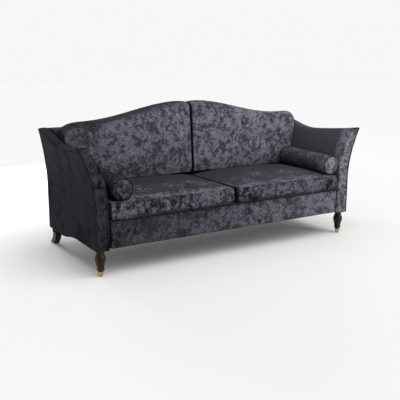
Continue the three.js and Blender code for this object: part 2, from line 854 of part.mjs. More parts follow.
const tenonX = rearLegInner + rearLegWidth / 2;
const tenonY = (rearLegTopFront + rearLegTopBack) / 2;

// Threaded stud between the front leg and its block.
function legStud() {
  const bottom = legHeight - studHoleDepth + studHoleFloor;
  return cylinder(studRadius, frontLegX, frontLegY, bottom, seatRailBottom - fit);
}

function finish(color, roughness, metalness = 0) {
  return new THREE.MeshStandardMaterial({ color, roughness, metalness });
}

const materials = {
  velvet: finish(0x3a3a41, 0.85),
  piping: finish(0x232328, 0.9),
  beech: finish(0xb59468, 0.7),
  walnut: finish(0x2a1a12, 0.35),
  brass: finish(0xb99758, 0.3, 1),
  steel: finish(0x8d9093, 0.4, 1),
  webbing: finish(0x4a3b2c, 0.9),
  cambric: finish(0x1c1c1e, 0.95),
};

const sofa = new THREE.Group();

function add(name, geometry, material) {
  const mesh = new THREE.Mesh(geometry, material);
  mesh.name = name;
  sofa.add(mesh);
  return mesh;
}

function addPair(name, geometry, material) {
  add(`${name}_right`, geometry, material);
  add(`${name}_left`, mirrored(geometry), material);
}

// A bolster is turned to its tilt and swing, then set down on the seat.
function addBolster(name, x, restHeight, swing) {
  const mesh = add(name, bolsterRoll(), materials.velvet);
  const height = restHeight + bolsterReach + bolsterRise / 2;
  mesh.rotation.x = Math.atan2(bolsterRise, bolsterLength);
  mesh.rotation.z = -Math.atan2(swing, bolsterLength);
  mesh.position.set(x, bolsterFrontDepth + bolsterLength / 2, height);
}

add('seat_rail_front', frontSeatRail(), materials.beech);
add('seat_rail_rear', rearSeatRail(), materials.beech);
add('seat_rail_centre', centreSeatRail(), materials.beech);
addPair('seat_rail', sideSeatRail(), materials.beech);
addPair('arm_post', armPost(), materials.beech);
addPair('arm_rail', armRail(), materials.beech);
addPair('back_post', backPost(), materials.beech);
add('back_post_centre', backCentrePost(), materials.beech);
add('back_rail_top', backTopRail(), materials.beech);
add('back_rail_lower', backLowerRail(), materials.beech);
addPair('leg_block', legBlock(), materials.beech);
for (let i = 1; i <= springsPerSeat; i += 1) {
  addPair(`seat_spring_${i}`, seatSpring(springX(i)), materials.steel);
}
for (const i of [1, 2]) {
  addPair(`back_strap_${i}`, backStrap(strapSpacing * (i - 1 / 2)), materials.webbing);
}
add('deck_pad', deckPad(), materials.velvet);
add('dust_cover', dustCover(), materials.cambric);
add('front_border', frontBorder(), materials.velvet);
add('border_piping', borderPiping(), materials.piping);
addPair('arm_facing', armFacing(), materials.velvet);
addPair('facing_piping', facingPiping(), materials.piping);
addPair('arm_cover', armCover(), materials.velvet);
addPair('arm_pad', armPad(), materials.velvet);
addPair('arm_roll', armRoll(), materials.velvet);
add('back_cover', backCover(), materials.velvet);
add('back_pad', backPad(), materials.velvet);
add('back_roll', backRoll(), materials.velvet);
addPair('seat_cushion', seatCushion(), materials.velvet);
addPair('back_cushion', backCushion(), materials.velvet);
const bolsterReach = bolsterRadius + bolsterPipingRadius / 2;
const bolsterArmX = innerX(0, seatSeamHeight) - bolsterReach;
const rightBolsterX = bolsterArmX - rightBolsterArmGap;
const leftBolsterX = leftBolsterArmGap + leftBolsterSwing / 2 - bolsterArmX;
addBolster('bolster_right', rightBolsterX, rightBolsterRestHeight, 0);
addBolster('bolster_left', leftBolsterX, leftBolsterRestHeight, leftBolsterSwing);
addPair('front_leg', frontLeg(), materials.walnut);
addPair('leg_ferrule', ferrule(), materials.brass);
addPair('rear_leg', rearLeg(), materials.walnut);
addPair('rear_leg_collar', rearLegCollar(), materials.velvet);
addPair('leg_stud', legStud(), materials.steel);

// The frame's origin is under the middle of the whole sofa, on the floor.
const centred = new THREE.Group();
sofa.position.y = -(rearLegFootBack - seatNose) / 2;
centred.add(sofa);

export default centred;
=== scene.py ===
import math

import bpy
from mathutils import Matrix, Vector, noise


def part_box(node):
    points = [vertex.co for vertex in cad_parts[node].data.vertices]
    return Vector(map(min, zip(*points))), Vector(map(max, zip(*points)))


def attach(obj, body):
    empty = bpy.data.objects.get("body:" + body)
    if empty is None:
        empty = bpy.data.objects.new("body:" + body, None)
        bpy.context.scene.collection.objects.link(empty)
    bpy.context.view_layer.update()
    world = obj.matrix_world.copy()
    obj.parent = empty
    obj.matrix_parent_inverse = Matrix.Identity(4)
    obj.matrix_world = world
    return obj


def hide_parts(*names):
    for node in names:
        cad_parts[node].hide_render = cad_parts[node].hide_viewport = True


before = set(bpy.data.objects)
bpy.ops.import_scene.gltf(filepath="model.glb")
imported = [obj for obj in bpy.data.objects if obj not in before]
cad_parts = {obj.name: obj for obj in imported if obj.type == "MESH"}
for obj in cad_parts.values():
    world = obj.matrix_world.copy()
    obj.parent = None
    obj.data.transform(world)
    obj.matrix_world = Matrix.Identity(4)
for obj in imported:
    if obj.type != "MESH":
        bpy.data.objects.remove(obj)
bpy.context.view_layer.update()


# Hardwood frame: beech rails, posts and leg blocks, planed, glued and screwed together. They keep
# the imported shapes, and each gets pale beech whose grain runs along its own length.
VECTOR, COLOUR, NUMBER = "NodeSocketVector", "NodeSocketColor", "NodeSocketFloat"


def add_node(tree, kind, inputs, **settings):
    """A shader node with its settings and inputs; an input that is another node's socket is linked."""
    node = tree.nodes.new(kind)
    for name, value in settings.items():
        setattr(node, name, value)
    for name, value in inputs.items():
        if isinstance(value, bpy.types.NodeSocket):
            tree.links.new(value, node.inputs[name])
        else:
            node.inputs[name].default_value = value
    return node


def grain_noise(tree, vector, scale, detail, roughness, distortion=0.0):
    inputs = {"Vector": vector, "Scale": scale, "Detail": detail, "Roughness": roughness,
              "Distortion": distortion}
    return add_node(tree, "ShaderNodeTexNoise", inputs).outputs["Fac"]


def calculated(tree, operation, first, second):
    return add_node(tree, "ShaderNodeMath", {0: first, 1: second}, operation=operation).outputs[0]


def weighed(tree, first, first_share, second, second_share):
    """Sum of two values, each times its share."""
    return calculated(tree, "ADD", calculated(tree, "MULTIPLY", first, first_share),
                      calculated(tree, "MULTIPLY", second, second_share))


def scaled(tree, value, factor, offset):
    return calculated(tree, "ADD", calculated(tree, "MULTIPLY", value, factor), offset)


def ramp(tree, value, low, high):
    """0 up to low, 1 from high, and smooth between them."""
    inputs = {"Value": value, "From Min": low, "From Max": high}
    return add_node(tree, "ShaderNodeMapRange", inputs, interpolation_type="SMOOTHSTEP").outputs[0]


def tinted(tree, share, first, second):
    """Colour that turns from the first to the second as share goes from 0 to 1."""
    return add_node(tree, "ShaderNodeMix", {0: share, 6: first, 7: second}, data_type="RGBA").outputs[2]


def start_group(name, inputs, outputs):
    tree = bpy.data.node_groups.new(name, "ShaderNodeTree")
    for label, kind in inputs.items():
        tree.interface.new_socket(label, in_out="INPUT", socket_type=kind)
    for label, kind in outputs.items():
        tree.interface.new_socket(label, in_out="OUTPUT", socket_type=kind)
    return tree, tree.nodes.new("NodeGroupInput").outputs, tree.nodes.new("NodeGroupOutput").inputs


def start_material(name, finish):
    """A material with its constant values on the shader; returns its tree, shader and place too."""
    material = bpy.data.materials.new(name)
    material.use_nodes = True
    tree = material.node_tree
    shader = tree.nodes["Principled BSDF"]
    for label, value in finish.items():
        shader.inputs[label].default_value = value
    return material, tree, shader, tree.nodes.new("ShaderNodeTexCoord").outputs["Object"]


def use_group(tree, group, inputs):
    return add_node(tree, "ShaderNodeGroup", inputs, node_tree=group).outputs


def paint(tree, shader, colour):
    tree.links.new(colour, shader.inputs["Base Color"])


def vary_roughness(tree, shader, value, at_none, at_full):
    """Roughness that follows a value from 0 to 1."""
    rough = add_node(tree, "ShaderNodeMapRange", {"Value": value, "To Min": at_none, "To Max": at_full})
    tree.links.new(rough.outputs[0], shader.inputs["Roughness"])


def raise_surface(tree, shader, height, distance, strength):
    bump = add_node(tree, "ShaderNodeBump", {"Height": height, "Distance": distance, "Strength": strength})
    tree.links.new(bump.outputs[0], shader.inputs["Normal"])


FIGURE_SCALE, FIBRE_SCALE = 58, 210
GRAIN_STRETCH, PORE_ROUGHNESS = 0.06, 0.2
wood_grain, taken, given = start_group(
    "wood_grain",
    {"Vector": VECTOR, "Early Wood": COLOUR, "Late Wood": COLOUR},
    {"Color": COLOUR, "Pores": NUMBER, "Height": NUMBER})
figure = grain_noise(wood_grain, taken["Vector"], FIGURE_SCALE, 3, 0.55, 0.5)
fibres = grain_noise(wood_grain, taken["Vector"], FIBRE_SCALE, 3, 0.6)
streaks = weighed(wood_grain, figure, 0.65, fibres, 0.35)
pores = ramp(wood_grain, fibres, 0.58, 0.7)
wood_grain.links.new(
    tinted(wood_grain, ramp(wood_grain, streaks, 0.42, 0.58), taken["Early Wood"], taken["Late Wood"]),
    given["Color"])
wood_grain.links.new(pores, given["Pores"])
wood_grain.links.new(calculated(wood_grain, "SUBTRACT", streaks, pores), given["Height"])


def wood_material(name, grain_axis, early, late, finish):
    """Wood whose grain is drawn out along one axis: 0, 1 or 2."""
    material, tree, shader, place = start_material(name, finish)
    stretch = [1.0, 1.0, 1.0]
    stretch[grain_axis] = GRAIN_STRETCH
    along = add_node(tree, "ShaderNodeMapping", {"Vector": place, "Scale": stretch}).outputs[0]
    grain = use_group(tree, wood_grain, {"Vector": along, "Early Wood": early, "Late Wood": late})
    paint(tree, shader, grain["Color"])
    rough = finish["Roughness"]
    vary_roughness(tree, shader, grain["Pores"], rough, min(1.0, rough + PORE_ROUGHNESS))
    raise_surface(tree, shader, grain["Height"], distance=0.0006, strength=0.35)
    return material


def finish_node(name, material):
    for material_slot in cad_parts[name].material_slots:
        material_slot.material = material


BEECH_EARLY, BEECH_LATE = (0.50, 0.36, 0.23, 1), (0.36, 0.235, 0.135, 1)
beech = [wood_material(f"beech_{axis}", i, BEECH_EARLY, BEECH_LATE, {"Roughness": 0.62})
         for i, axis in enumerate("xyz")]
BEECH_GRAIN = {
    0: ["seat_rail_front", "seat_rail_rear", "back_rail_top", "back_rail_lower"],
    1: ["seat_rail_centre", "seat_rail_right", "seat_rail_left", "arm_rail_right", "arm_rail_left"],
    2: ["arm_post_right", "arm_post_left", "back_post_right", "back_post_left", "back_post_centre",
        "leg_block_right", "leg_block_left"],
}
for grain_axis, names in BEECH_GRAIN.items():
    for node_name in names:
        finish_node(node_name, beech[grain_axis])


# Springs and studs: sinuous seat springs of oiled spring steel in their clips, and the threaded
# studs that hold the front legs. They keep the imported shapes.
def metal_material(name, roughness, film, clean, stained, dulling, scratches):
    """Metal under an uneven film, darker and duller where the film is thick, with fine scratches."""
    material, tree, shader, place = start_material(name, {"Metallic": 1.0, "Roughness": roughness})
    film_scale, film_low, film_high = film
    thickness = grain_noise(tree, place, film_scale, 4, 0.6)
    paint(tree, shader, tinted(tree, ramp(tree, thickness, film_low, film_high), clean, stained))
    vary_roughness(tree, shader, thickness, *dulling)
    scratch_scale, scratch_strength = scratches
    raise_surface(tree, shader, grain_noise(tree, place, scratch_scale, 2, 0.5), distance=0.0001,
                  strength=scratch_strength)
    return material


steel = metal_material("steel_oiled", 0.35, film=(60, 0.4, 0.7), clean=(0.34, 0.34, 0.35, 1),
                       stained=(0.16, 0.15, 0.15, 1), dulling=(0.25, 0.6), scratches=(900, 0.3))
for node_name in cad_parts:
    if node_name.startswith(("seat_spring", "leg_stud")):
        finish_node(node_name, steel)


# Back webbing: elastic straps stapled over the front of the back rails, woven in two directions.
# Each is a thin strip with rounded edges that bellies back a little between its ends.
def clear_selection():
    if bpy.context.object and bpy.context.object.mode != "OBJECT":
        bpy.ops.object.mode_set(mode="OBJECT")
    bpy.ops.object.select_all(action="DESELECT")


def name_piece(name):
    """Names the shape that was just added, and returns it."""
    piece = bpy.context.object
    piece.name = piece.data.name = name
    return piece


def edit_mesh(action="SELECT"):
    """Opens the active piece's mesh with all of it selected, or none."""
    bpy.ops.object.mode_set(mode="EDIT")
    bpy.ops.mesh.select_all(action=action)


def soft_block(name, cells, place):
    """A cube cut into cells, whose points `place` puts on the piece from -1..1 along each side.

    The cube's edges are kept as the group "seams"."""
    clear_selection()
    bpy.ops.mesh.primitive_cube_add(size=2)
    piece = name_piece(name)
    edit_mesh()
    bpy.ops.mesh.subdivide(number_cuts=cells - 1)
    bpy.ops.object.mode_set(mode="OBJECT")
    seams = [v.index for v in piece.data.vertices if sum(abs(c) > 0.999 for c in v.co) > 1]
    piece.vertex_groups.new(name="seams").add(seams, 1.0, "ADD")
    for vertex in piece.data.vertices:
        u, v, w = (math.sin(c * math.pi / 2) for c in vertex.co)
        vertex.co = place(u, v, w)
    settle()
    return piece


def settle(crease=40):
    """Merges doubled points, closes open ends, turns the faces outwards and shades them smooth."""
    edit_mesh()
    bpy.ops.mesh.remove_doubles(threshold=1e-5)
    bpy.ops.mesh.fill_holes(sides=0)
    bpy.ops.mesh.select_all(action="SELECT")
    bpy.ops.mesh.normals_make_consistent(inside=False)
    bpy.ops.object.mode_set(mode="OBJECT")
    bpy.ops.object.shade_smooth_by_angle(angle=math.radians(crease))


def dress(piece, material, slot, body, *nodes):
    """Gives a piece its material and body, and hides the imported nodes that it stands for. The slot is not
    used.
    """
    piece.data.materials.clear()
    piece.data.materials.append(material)
    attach(piece, body)
    if nodes:
        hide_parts(*nodes)


def woven(tree, place, scales, distortion):
    """Crossing threads, each set with its own scale: 1 where both stand up, 0 between them."""
    warp, weft = [
        add_node(tree, "ShaderNodeTexWave", {"Vector": place, "Scale": scale, "Distortion": distortion},
                 bands_direction=direction).outputs["Fac"]
        for direction, scale in scales.items()]
    return calculated(tree, "MULTIPLY", warp, weft)


webbing, tree, shader, place = start_material("elastic_webbing", {"Roughness": 0.85})
threads = woven(tree, place, {"X": 160.0, "Z": 110.0}, 0.6)
paint(tree, shader, tinted(tree, threads, (0.10, 0.085, 0.06, 1), (0.33, 0.29, 0.22, 1)))
raise_surface(tree, shader, threads, distance=0.0006, strength=0.6)
STRAP_BELLY, STRAP_CELLS, STRAP_EDGE = 0.0015, 16, 0.35
for node_name in [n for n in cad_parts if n.startswith("back_strap")]:
    low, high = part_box(node_name)
    middle, half = (low + high) / 2, (high - low) / 2

    def strap_point(u, v, w):
        belly = STRAP_BELLY * (1 - w * w) ** 2
        round_off = 1 - STRAP_EDGE * abs(u) ** 8
        return (middle.x + half.x * u, middle.y + half.y * v * round_off + belly, middle.z + half.z * w)

    strap = soft_block(node_name.replace("back_strap", "webbing_strap"), STRAP_CELLS, strap_point)
    dress(strap, webbing, "webbing", "frame", node_name)


# Seat platform and dust cover: a felt pad in plain charcoal cloth over the springs, and a thin
# black cambric sheet tacked under the seat frame, notched round the front leg blocks.
def plain_cloth(name, colour, threads_per_metre):
    material, tree, shader, place = start_material(name, {"Roughness": 0.9})
    weave = woven(tree, place, {"X": threads_per_metre, "Y": threads_per_metre}, 1.0)
    shade = weighed(tree, weave, 0.6, grain_noise(tree, place, 9, 3, 0.5), 0.4)
    darker = tuple(c * 0.45 for c in colour[:3]) + (1,)
    paint(tree, shader, tinted(tree, shade, darker, colour))
    raise_surface(tree, shader, weave, distance=0.0004, strength=0.5)
    return material


platform_cloth = plain_cloth("platform_cloth", (0.055, 0.053, 0.058, 1), 180.0)
cambric = plain_cloth("cambric", (0.022, 0.022, 0.024, 1), 260.0)
PAD_EDGE, PAD_QUILT, PAD_SLACK, PAD_CELLS = 0.006, 0.0012, 0.0015, 48
low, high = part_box("deck_pad")
pad_middle, pad_half = (low + high) / 2, (high - low) / 2


def platform_point(u, v, w):
    inset = PAD_EDGE * w ** 4
    quilt = PAD_QUILT * noise.noise(Vector((u * 9, v * 4, 0)))
    return (pad_middle.x + u * (pad_half.x - inset), pad_middle.y + v * (pad_half.y - inset),
            pad_middle.z + w * (pad_half.z - PAD_SLACK - (quilt if w > 0 else 0)))


platform = soft_block("seat_platform", PAD_CELLS, platform_point)
dress(platform, platform_cloth, "velvet", "frame", "deck_pad")

DUST_SAG, CAMBRIC_THICKNESS = 0.0035, 0.0006
LEG_NOTCH, HALF_CELL = (0.0713, 0.0683), 0.0155
low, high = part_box("dust_cover")
clear_selection()
bpy.ops.mesh.primitive_grid_add(x_subdivisions=62, y_subdivisions=24, size=2)
dust_cover = name_piece("cambric_cover")
notch_x, notch_y = high.x - LEG_NOTCH[0], low.y + LEG_NOTCH[1]
for vertex in dust_cover.data.vertices:
    u, v = vertex.co.x, vertex.co.y
    sag = DUST_SAG * (1 - u ** 4) * (1 - v ** 4) * (0.8 + 0.4 * noise.noise(Vector((u * 5, v * 3, 1))))
    x = (low.x + high.x) / 2 + u * (high.x - low.x) / 2
    y = (low.y + high.y) / 2 + v * (high.y - low.y) / 2
    if abs(abs(x) - notch_x) < HALF_CELL:
        x = math.copysign(notch_x, x)
    if abs(y - notch_y) < HALF_CELL:
        y = notch_y
    vertex.co = (x, y, high.z - CAMBRIC_THICKNESS - sag)
edit_mesh("DESELECT")
bpy.ops.object.mode_set(mode="OBJECT")
for face in dust_cover.data.polygons:
    face.select = abs(face.center.x) > notch_x and face.center.y < notch_y
bpy.ops.object.mode_set(mode="EDIT")
bpy.ops.mesh.delete(type="FACE")
bpy.ops.object.mode_set(mode="OBJECT")
solidify = dust_cover.modifiers.new("thickness", "SOLIDIFY")
solidify.thickness, solidify.offset = CAMBRIC_THICKNESS, 1
bpy.ops.object.modifier_apply(modifier="thickness")
bpy.ops.object.shade_smooth_by_angle(angle=math.radians(50))
dress(dust_cover, cambric, "cambric", "frame", "dust_cover")


# Outside arms: crushed velvet over board, level below in front and dropping over the rear leg,
# leaning outwards towards the top. The pile lies flat here, with dark flecks where it is crushed,
# and its ground is painted darker than the other panels', partly as painted shade.
FACING_PLANE = -0.452
BODY_DEPTH = 0.845
BASE_HALF_WIDTH = 0.970
DECK_HEIGHT = 0.3348
FLARE_START, ARM_FRONT_HEIGHT, ARM_DIP_HEIGHT, ARM_REAR_HEIGHT = 0.420, 0.770, 0.735, 0.803
ARM_DIP_DEPTH, ARM_RISE_END = 0.430, 0.830
FLARE_FRONT, FLARE_REAR, NARROWING_FRONT, NARROWING_REAR = 0.094, 0.038, 0.024, 0.013
ARM_WIDTH = 0.082
FLARE_POWER, INNER_POWER, DIP_POWER = 1.85, 2.1, 1.5
SIDE_BOTTOM_FRONT, SIDE_BOTTOM_REAR, SIDE_DROP_START, SIDE_DROP_END = 0.160, 0.124, 0.338, 0.600
COVER, ROLL, SKIN_GAP, FIT = 0.007, 0.018, 0.0015, 0.0003
FRAME_FRONT = 0.022
SIDES = {"right": 1, "left": -1}


def mix(first, second, share):
    return first + (second - first) * share


def within(value, low, high):
    return min(max(value, low), high)


def smooth(value, start, end):
    share = within((value - start) / (end - start), 0, 1)
    return share * share * (3 - 2 * share)


def flare_rise(z):
    return max(0.0, (z - FLARE_START) / (ARM_FRONT_HEIGHT - FLARE_START))


def outer_x(depth, z):
    flare = mix(FLARE_FRONT, FLARE_REAR, depth / BODY_DEPTH)
    return BASE_HALF_WIDTH + flare * flare_rise(z) ** FLARE_POWER


def inner_x(depth, z):
    share = depth / BODY_DEPTH
    lean = mix(FLARE_FRONT, FLARE_REAR, share) + mix(NARROWING_FRONT, NARROWING_REAR, share)
    return BASE_HALF_WIDTH - ARM_WIDTH + lean * flare_rise(z) ** INNER_POWER


def arm_top(depth):
    if depth < ARM_DIP_DEPTH:
        return mix(ARM_DIP_HEIGHT, ARM_FRONT_HEIGHT, (1 - depth / ARM_DIP_DEPTH) ** DIP_POWER)
    return mix(ARM_DIP_HEIGHT, ARM_REAR_HEIGHT, smooth(depth, ARM_DIP_DEPTH, ARM_RISE_END))


def side_bottom(depth):
    return mix(SIDE_BOTTOM_FRONT, SIDE_BOTTOM_REAR, smooth(depth, SIDE_DROP_START, SIDE_DROP_END))


def shares(count):
    return [i / count for i in range(count + 1)]


def loft(name, rings, crease=40):
    """A grid wrapped round equal rings of points, one after another; open ends are closed flat."""
    across, along = len(rings[0]), len(rings) - 1
    clear_selection()
    bpy.ops.mesh.primitive_grid_add(x_subdivisions=across, y_subdivisions=along, size=2)
    piece = name_piece(name)
    for vertex in piece.data.vertices:
        i = round((vertex.co.x + 1) / 2 * across) % across
        j = round((vertex.co.y + 1) / 2 * along)
        vertex.co = rings[j][i]
    settle(crease)
    return piece


def arc(middle, radius, start, end, count):
    """Points of a rounded corner, from one angle to another in degrees."""
    angles = [math.radians(mix(start, end, share)) for share in shares(count)]
    return [(middle[0] + radius * math.cos(a), middle[1] + radius * math.sin(a)) for a in angles]


def panel_section(low, high, thickness, count):
    """A board wrapped in cloth, seen from its end: how deep each point lies, and its height."""
    r = thickness / 2
    face = [(0.0, mix(low + r, high - r, share)) for share in shares(count)]
    back = [(thickness, z) for _, z in reversed(face)]
    over = [(r - y, z) for y, z in arc((0, high - r), r, 0, 180, 6)[1:-1]]
    under = [(r - y, z) for y, z in arc((0, low + r), r, 180, 360, 6)[1:-1]]
    return face + over + back + under


def ripple(piece, depth, scale, seed, loose):
    """Pushes points in and out a little, as cloth lies over padding, where its face is loose."""
    moves = []
    for vertex in piece.data.vertices:
        at = vertex.co * scale + Vector((seed, seed, seed))
        push = noise.noise(at) + 0.5 * noise.noise(at * 2.1)
        moves.append(vertex.co + vertex.normal * depth * push * smooth(loose(vertex.normal), -0.3, 0.5))
    for vertex, place in zip(piece.data.vertices, moves):
        vertex.co = place


def lay_nap(piece, nap, tone, lift=1.0):
    """Keeps how crushed the pile is at each point, how light it lies and how bright its tips are.
    They also carry painted light: the tips' brightness is painted sheen, and the pieces set all three
    to paint the pile lighter where light falls and darker in shade.
    """
    for label, value in (("nap", nap), ("tone", tone), ("lift", lift)):
        layer = piece.data.attributes.new(label, "FLOAT", "POINT")
        values = [value(v.co, v.normal) if callable(value) else value for v in piece.data.vertices]
        layer.data.foreach_set("value", values)


# Mixes from the sofa's left end to its right; the pieces use it to paint the velvet darker towards the left
# and lighter towards the right, as painted shade and light.
def along_sofa(x, left, right):
    return mix(left, right, smooth(x, -BASE_HALF_WIDTH, BASE_HALF_WIDTH))


# Crushed velvet: bright patches of raised pile over a ground that runs from deep to flat pile, with dark
# flecks where the pile is crushed. The patches' brightness is painted sheen; Nap and Lift set how much of
# it shows, and Tone sets the ground, which the pieces use to paint shade and light.
crushed_nap, taken, given = start_group(
    "crushed_nap",
    {"Vector": VECTOR, "Nap": NUMBER, "Tone": NUMBER, "Lift": NUMBER, "Raised Pile Sheen": COLOUR,
     "Flat Pile": COLOUR, "Deep Pile And Shade": COLOUR},
    {"Color": COLOUR, "Patch": NUMBER, "Height": NUMBER})
SWIRL_REACH = 0.022
swirl = add_node(crushed_nap, "ShaderNodeTexNoise",
                 {"Vector": taken["Vector"], "Scale": 17.0, "Detail": 2.0}).outputs["Color"]
offset = add_node(crushed_nap, "ShaderNodeVectorMath",
                  {0: swirl, 1: (0.5, 0.5, 0.5)}, operation="SUBTRACT").outputs[0]
pushed = add_node(crushed_nap, "ShaderNodeVectorMath",
                  {0: offset, 1: (SWIRL_REACH, SWIRL_REACH, SWIRL_REACH), 2: taken["Vector"]},
                  operation="MULTIPLY_ADD").outputs[0]
drift = grain_noise(crushed_nap, pushed, 12.0, 3, 0.6)
flake = grain_noise(crushed_nap, pushed, 33.0, 6, 0.74)
crush = grain_noise(crushed_nap, pushed, 115.0, 4, 0.7)
speck = grain_noise(crushed_nap, taken["Vector"], 230.0, 2, 0.5)
cover = ramp(crushed_nap, taken["Nap"], 0.0, 0.45)
lie = weighed(crushed_nap, weighed(crushed_nap, drift, 0.32, flake, 0.68), 1.0, cover, 0.15)
patch = ramp(crushed_nap, lie, 0.59, 0.685)
pile_tips = ramp(crushed_nap, crush, 0.34, 0.66)
bright = calculated(crushed_nap, "MULTIPLY", patch, scaled(crushed_nap, pile_tips, 0.95, 0.25))
dim = calculated(crushed_nap, "MULTIPLY", calculated(crushed_nap, "MULTIPLY", pile_tips, cover), 0.22)
shown = calculated(crushed_nap, "MAXIMUM", bright, dim)
sparkle = scaled(crushed_nap, speck, 0.9, 0.55)
# How bright the raised pile's painted sheen shows.
standing = calculated(crushed_nap, "MULTIPLY", scaled(crushed_nap, taken["Nap"], 0.84, 0.12),
                      taken["Lift"])
shown = calculated(crushed_nap, "MULTIPLY", shown, calculated(crushed_nap, "MULTIPLY", sparkle, standing))
# The ground runs from deep pile at Tone 0, the colour used for painted shade, to flat pile at Tone 1.
ground = tinted(crushed_nap, taken["Tone"], taken["Deep Pile And Shade"], taken["Flat Pile"])
pile = tinted(crushed_nap, shown, ground, taken["Raised Pile Sheen"])
FLECK_STRETCH, FLECK_COLOUR = 0.62, (0.0025, 0.0024, 0.0032, 1)
drawn = add_node(crushed_nap, "ShaderNodeMapping",
                 {"Vector": taken["Vector"], "Scale": (1.0, 1.0, FLECK_STRETCH)}).outputs[0]
fleck = weighed(crushed_nap, grain_noise(crushed_nap, drawn, 40, 5, 0.72), 0.6,
                grain_noise(crushed_nap, drawn, 5, 2, 0.5), 0.4)
fleck = ramp(crushed_nap, weighed(crushed_nap, fleck, 1.0, taken["Tone"], -0.2), 0.505, 0.54)
# Flecks show most where Tone is low, deepening the painted shade there.
shade = calculated(crushed_nap, "MULTIPLY", fleck, scaled(crushed_nap, taken["Tone"], -2.0, 1.1))
crushed_nap.links.new(tinted(crushed_nap, shade, pile, FLECK_COLOUR), given["Color"])
crushed_nap.links.new(shown, given["Patch"])
crushed_nap.links.new(weighed(crushed_nap, shown, 0.6, speck, 0.25), given["Height"])


def velvet_material(name, raised, flat, deep):
    finish = {"Roughness": 0.8, "Specular IOR Level": 0.05, "Sheen Weight": 0.012,
              "Sheen Roughness": 0.4, "Sheen Tint": (0.70, 0.68, 0.85, 1)}
    material, tree, shader, place = start_material(name, finish)
    inputs = {"Vector": place, "Raised Pile Sheen": raised, "Flat Pile": flat, "Deep Pile And Shade": deep}
    for label in ("Nap", "Tone", "Lift"):
        attribute = add_node(tree, "ShaderNodeAttribute", {}, attribute_name=label.lower())
        inputs[label] = attribute.outputs["Fac"]
    pile = use_group(tree, crushed_nap, inputs)
    paint(tree, shader, pile["Color"])
    vary_roughness(tree, shader, pile["Patch"], 0.82, 0.55)
    raise_surface(tree, shader, pile["Height"], distance=0.0012, strength=0.45)
    return material


# The raised pile colour carries the painted sheen, and the deep pile colour the painted shade.
velvet = velvet_material("crushed_velvet", (0.290, 0.280, 0.342, 1), (0.070, 0.068, 0.081, 1),
                         (0.012, 0.0114, 0.0160, 1))


def upholster(piece, fill, body, *nodes):
    """Covers a padded piece in the sofa's velvet."""
    dress(piece, velvet, "velvet", body, *nodes)


ARM_STATIONS, PANEL_POINTS = 40, 36
# Dark ground of the outside arms, partly painted shade.
OUTSIDE_SHADED_TONE = 0.068
for name, side in SIDES.items():
    rings = []
    for share in shares(ARM_STATIONS):
        depth = mix(FRAME_FRONT, BODY_DEPTH, share)
        section = panel_section(side_bottom(depth), arm_top(depth) - ROLL - SKIN_GAP, COVER, PANEL_POINTS)
        rings.append([(side * (outer_x(depth, z) - inset), depth + FACING_PLANE, z)
                      for inset, z in section])
    outside_arm = loft(f"outside_arm_{name}", rings)
    ripple(outside_arm, depth=0.0008, scale=4.0, seed=side, loose=lambda normal: side * normal.x)
    lay_nap(outside_arm, 0.0, OUTSIDE_SHADED_TONE)
    upholster(outside_arm, 0.9, "frame", f"arm_cover_{name}")


# Inside arms: padding and velvet in one length, from the seat platform up the inner face, rolled
# over the arm's top rail and closed under it on the outside, from the facing to the back corner.
PAD_BACK = 0.7642
POST_DEPTH = 0.030
POST_GAP = COVER + SKIN_GAP + POST_DEPTH + SKIN_GAP
INNER_ROUND, OUTER_ROUND, CORNER_ROUND, ARM_CROWN = 0.016, 0.015, 0.003, 0.0015
HAIRLINE = 0.0001
INSIDE_BACK_DEPTH = 0.6845


def arm_section(depth, low):
    top = arm_top(depth)
    inner_top, outer_top = inner_x(depth, top), outer_x(depth, top)
    under = top - ROLL
    inner_r = mix(INNER_ROUND, CORNER_ROUND, smooth(depth, INSIDE_BACK_DEPTH, PAD_BACK))
    face = [(inner_x(depth, z), z)
            for z in [mix(low, top - inner_r, share) for share in shares(30)]]
    inner_round = arc((inner_top + inner_r, top - inner_r), inner_r, 180, 90, 7)[1:]
    outer_round = arc((outer_top - OUTER_ROUND, top - OUTER_ROUND), OUTER_ROUND, 90, 0, 5)
    crown = [(mix(inner_round[-1][0], outer_round[0][0], share),
              top + ARM_CROWN * math.sin(math.pi * share)) for share in (0.25, 0.5, 0.75)]
    outside = [(outer_x(depth, under), under), (outer_x(depth, under) - POST_GAP, under)]
    back = [(outer_x(depth, z) - POST_GAP, z)
            for z in [mix(under, low, share) for share in shares(12)]][1:]
    return face + inner_round + crown + outer_round + outside + back


# Raised pile on the inside arms, painted lighter on the right arm and near the front, and dimmer on faces
# turned up, as painted light and shade.
def inside_arm_nap_and_light(place, normal):
    depth = place.y - FACING_PLANE
    front = along_sofa(place.x, 0.25, 0.85)
    return mix(front, 0.12, smooth(depth, 0.02, 0.13)) * (1 - 0.5 * smooth(normal.z, 0.4, 1.0))


for name, side in SIDES.items():
    stations = [(mix(FRAME_FRONT, PAD_BACK, share), DECK_HEIGHT + FIT)
                for share in shares(ARM_STATIONS)]
    for share in shares(6):
        depth = mix(PAD_BACK + FIT, BODY_DEPTH, share)
        stations.append((depth, arm_top(depth) - ROLL + HAIRLINE))
    rings = [[(side * x, depth + FACING_PLANE, z) for x, z in arm_section(depth, low)]
             for depth, low in stations]
    inside_arm = loft(f"inside_arm_{name}", rings)
    ripple(inside_arm, depth=0.0010, scale=5.0, seed=3 * side,
           loose=lambda normal: normal.z - side * normal.x)
    # The left inside arm's ground is painted darker than the right's, as painted shade.
    lay_nap(inside_arm, inside_arm_nap_and_light, lambda place, normal: along_sofa(place.x, 0.1, 0.9))
    upholster(inside_arm, 0.75, "frame", f"arm_pad_{name}", f"arm_roll_{name}")


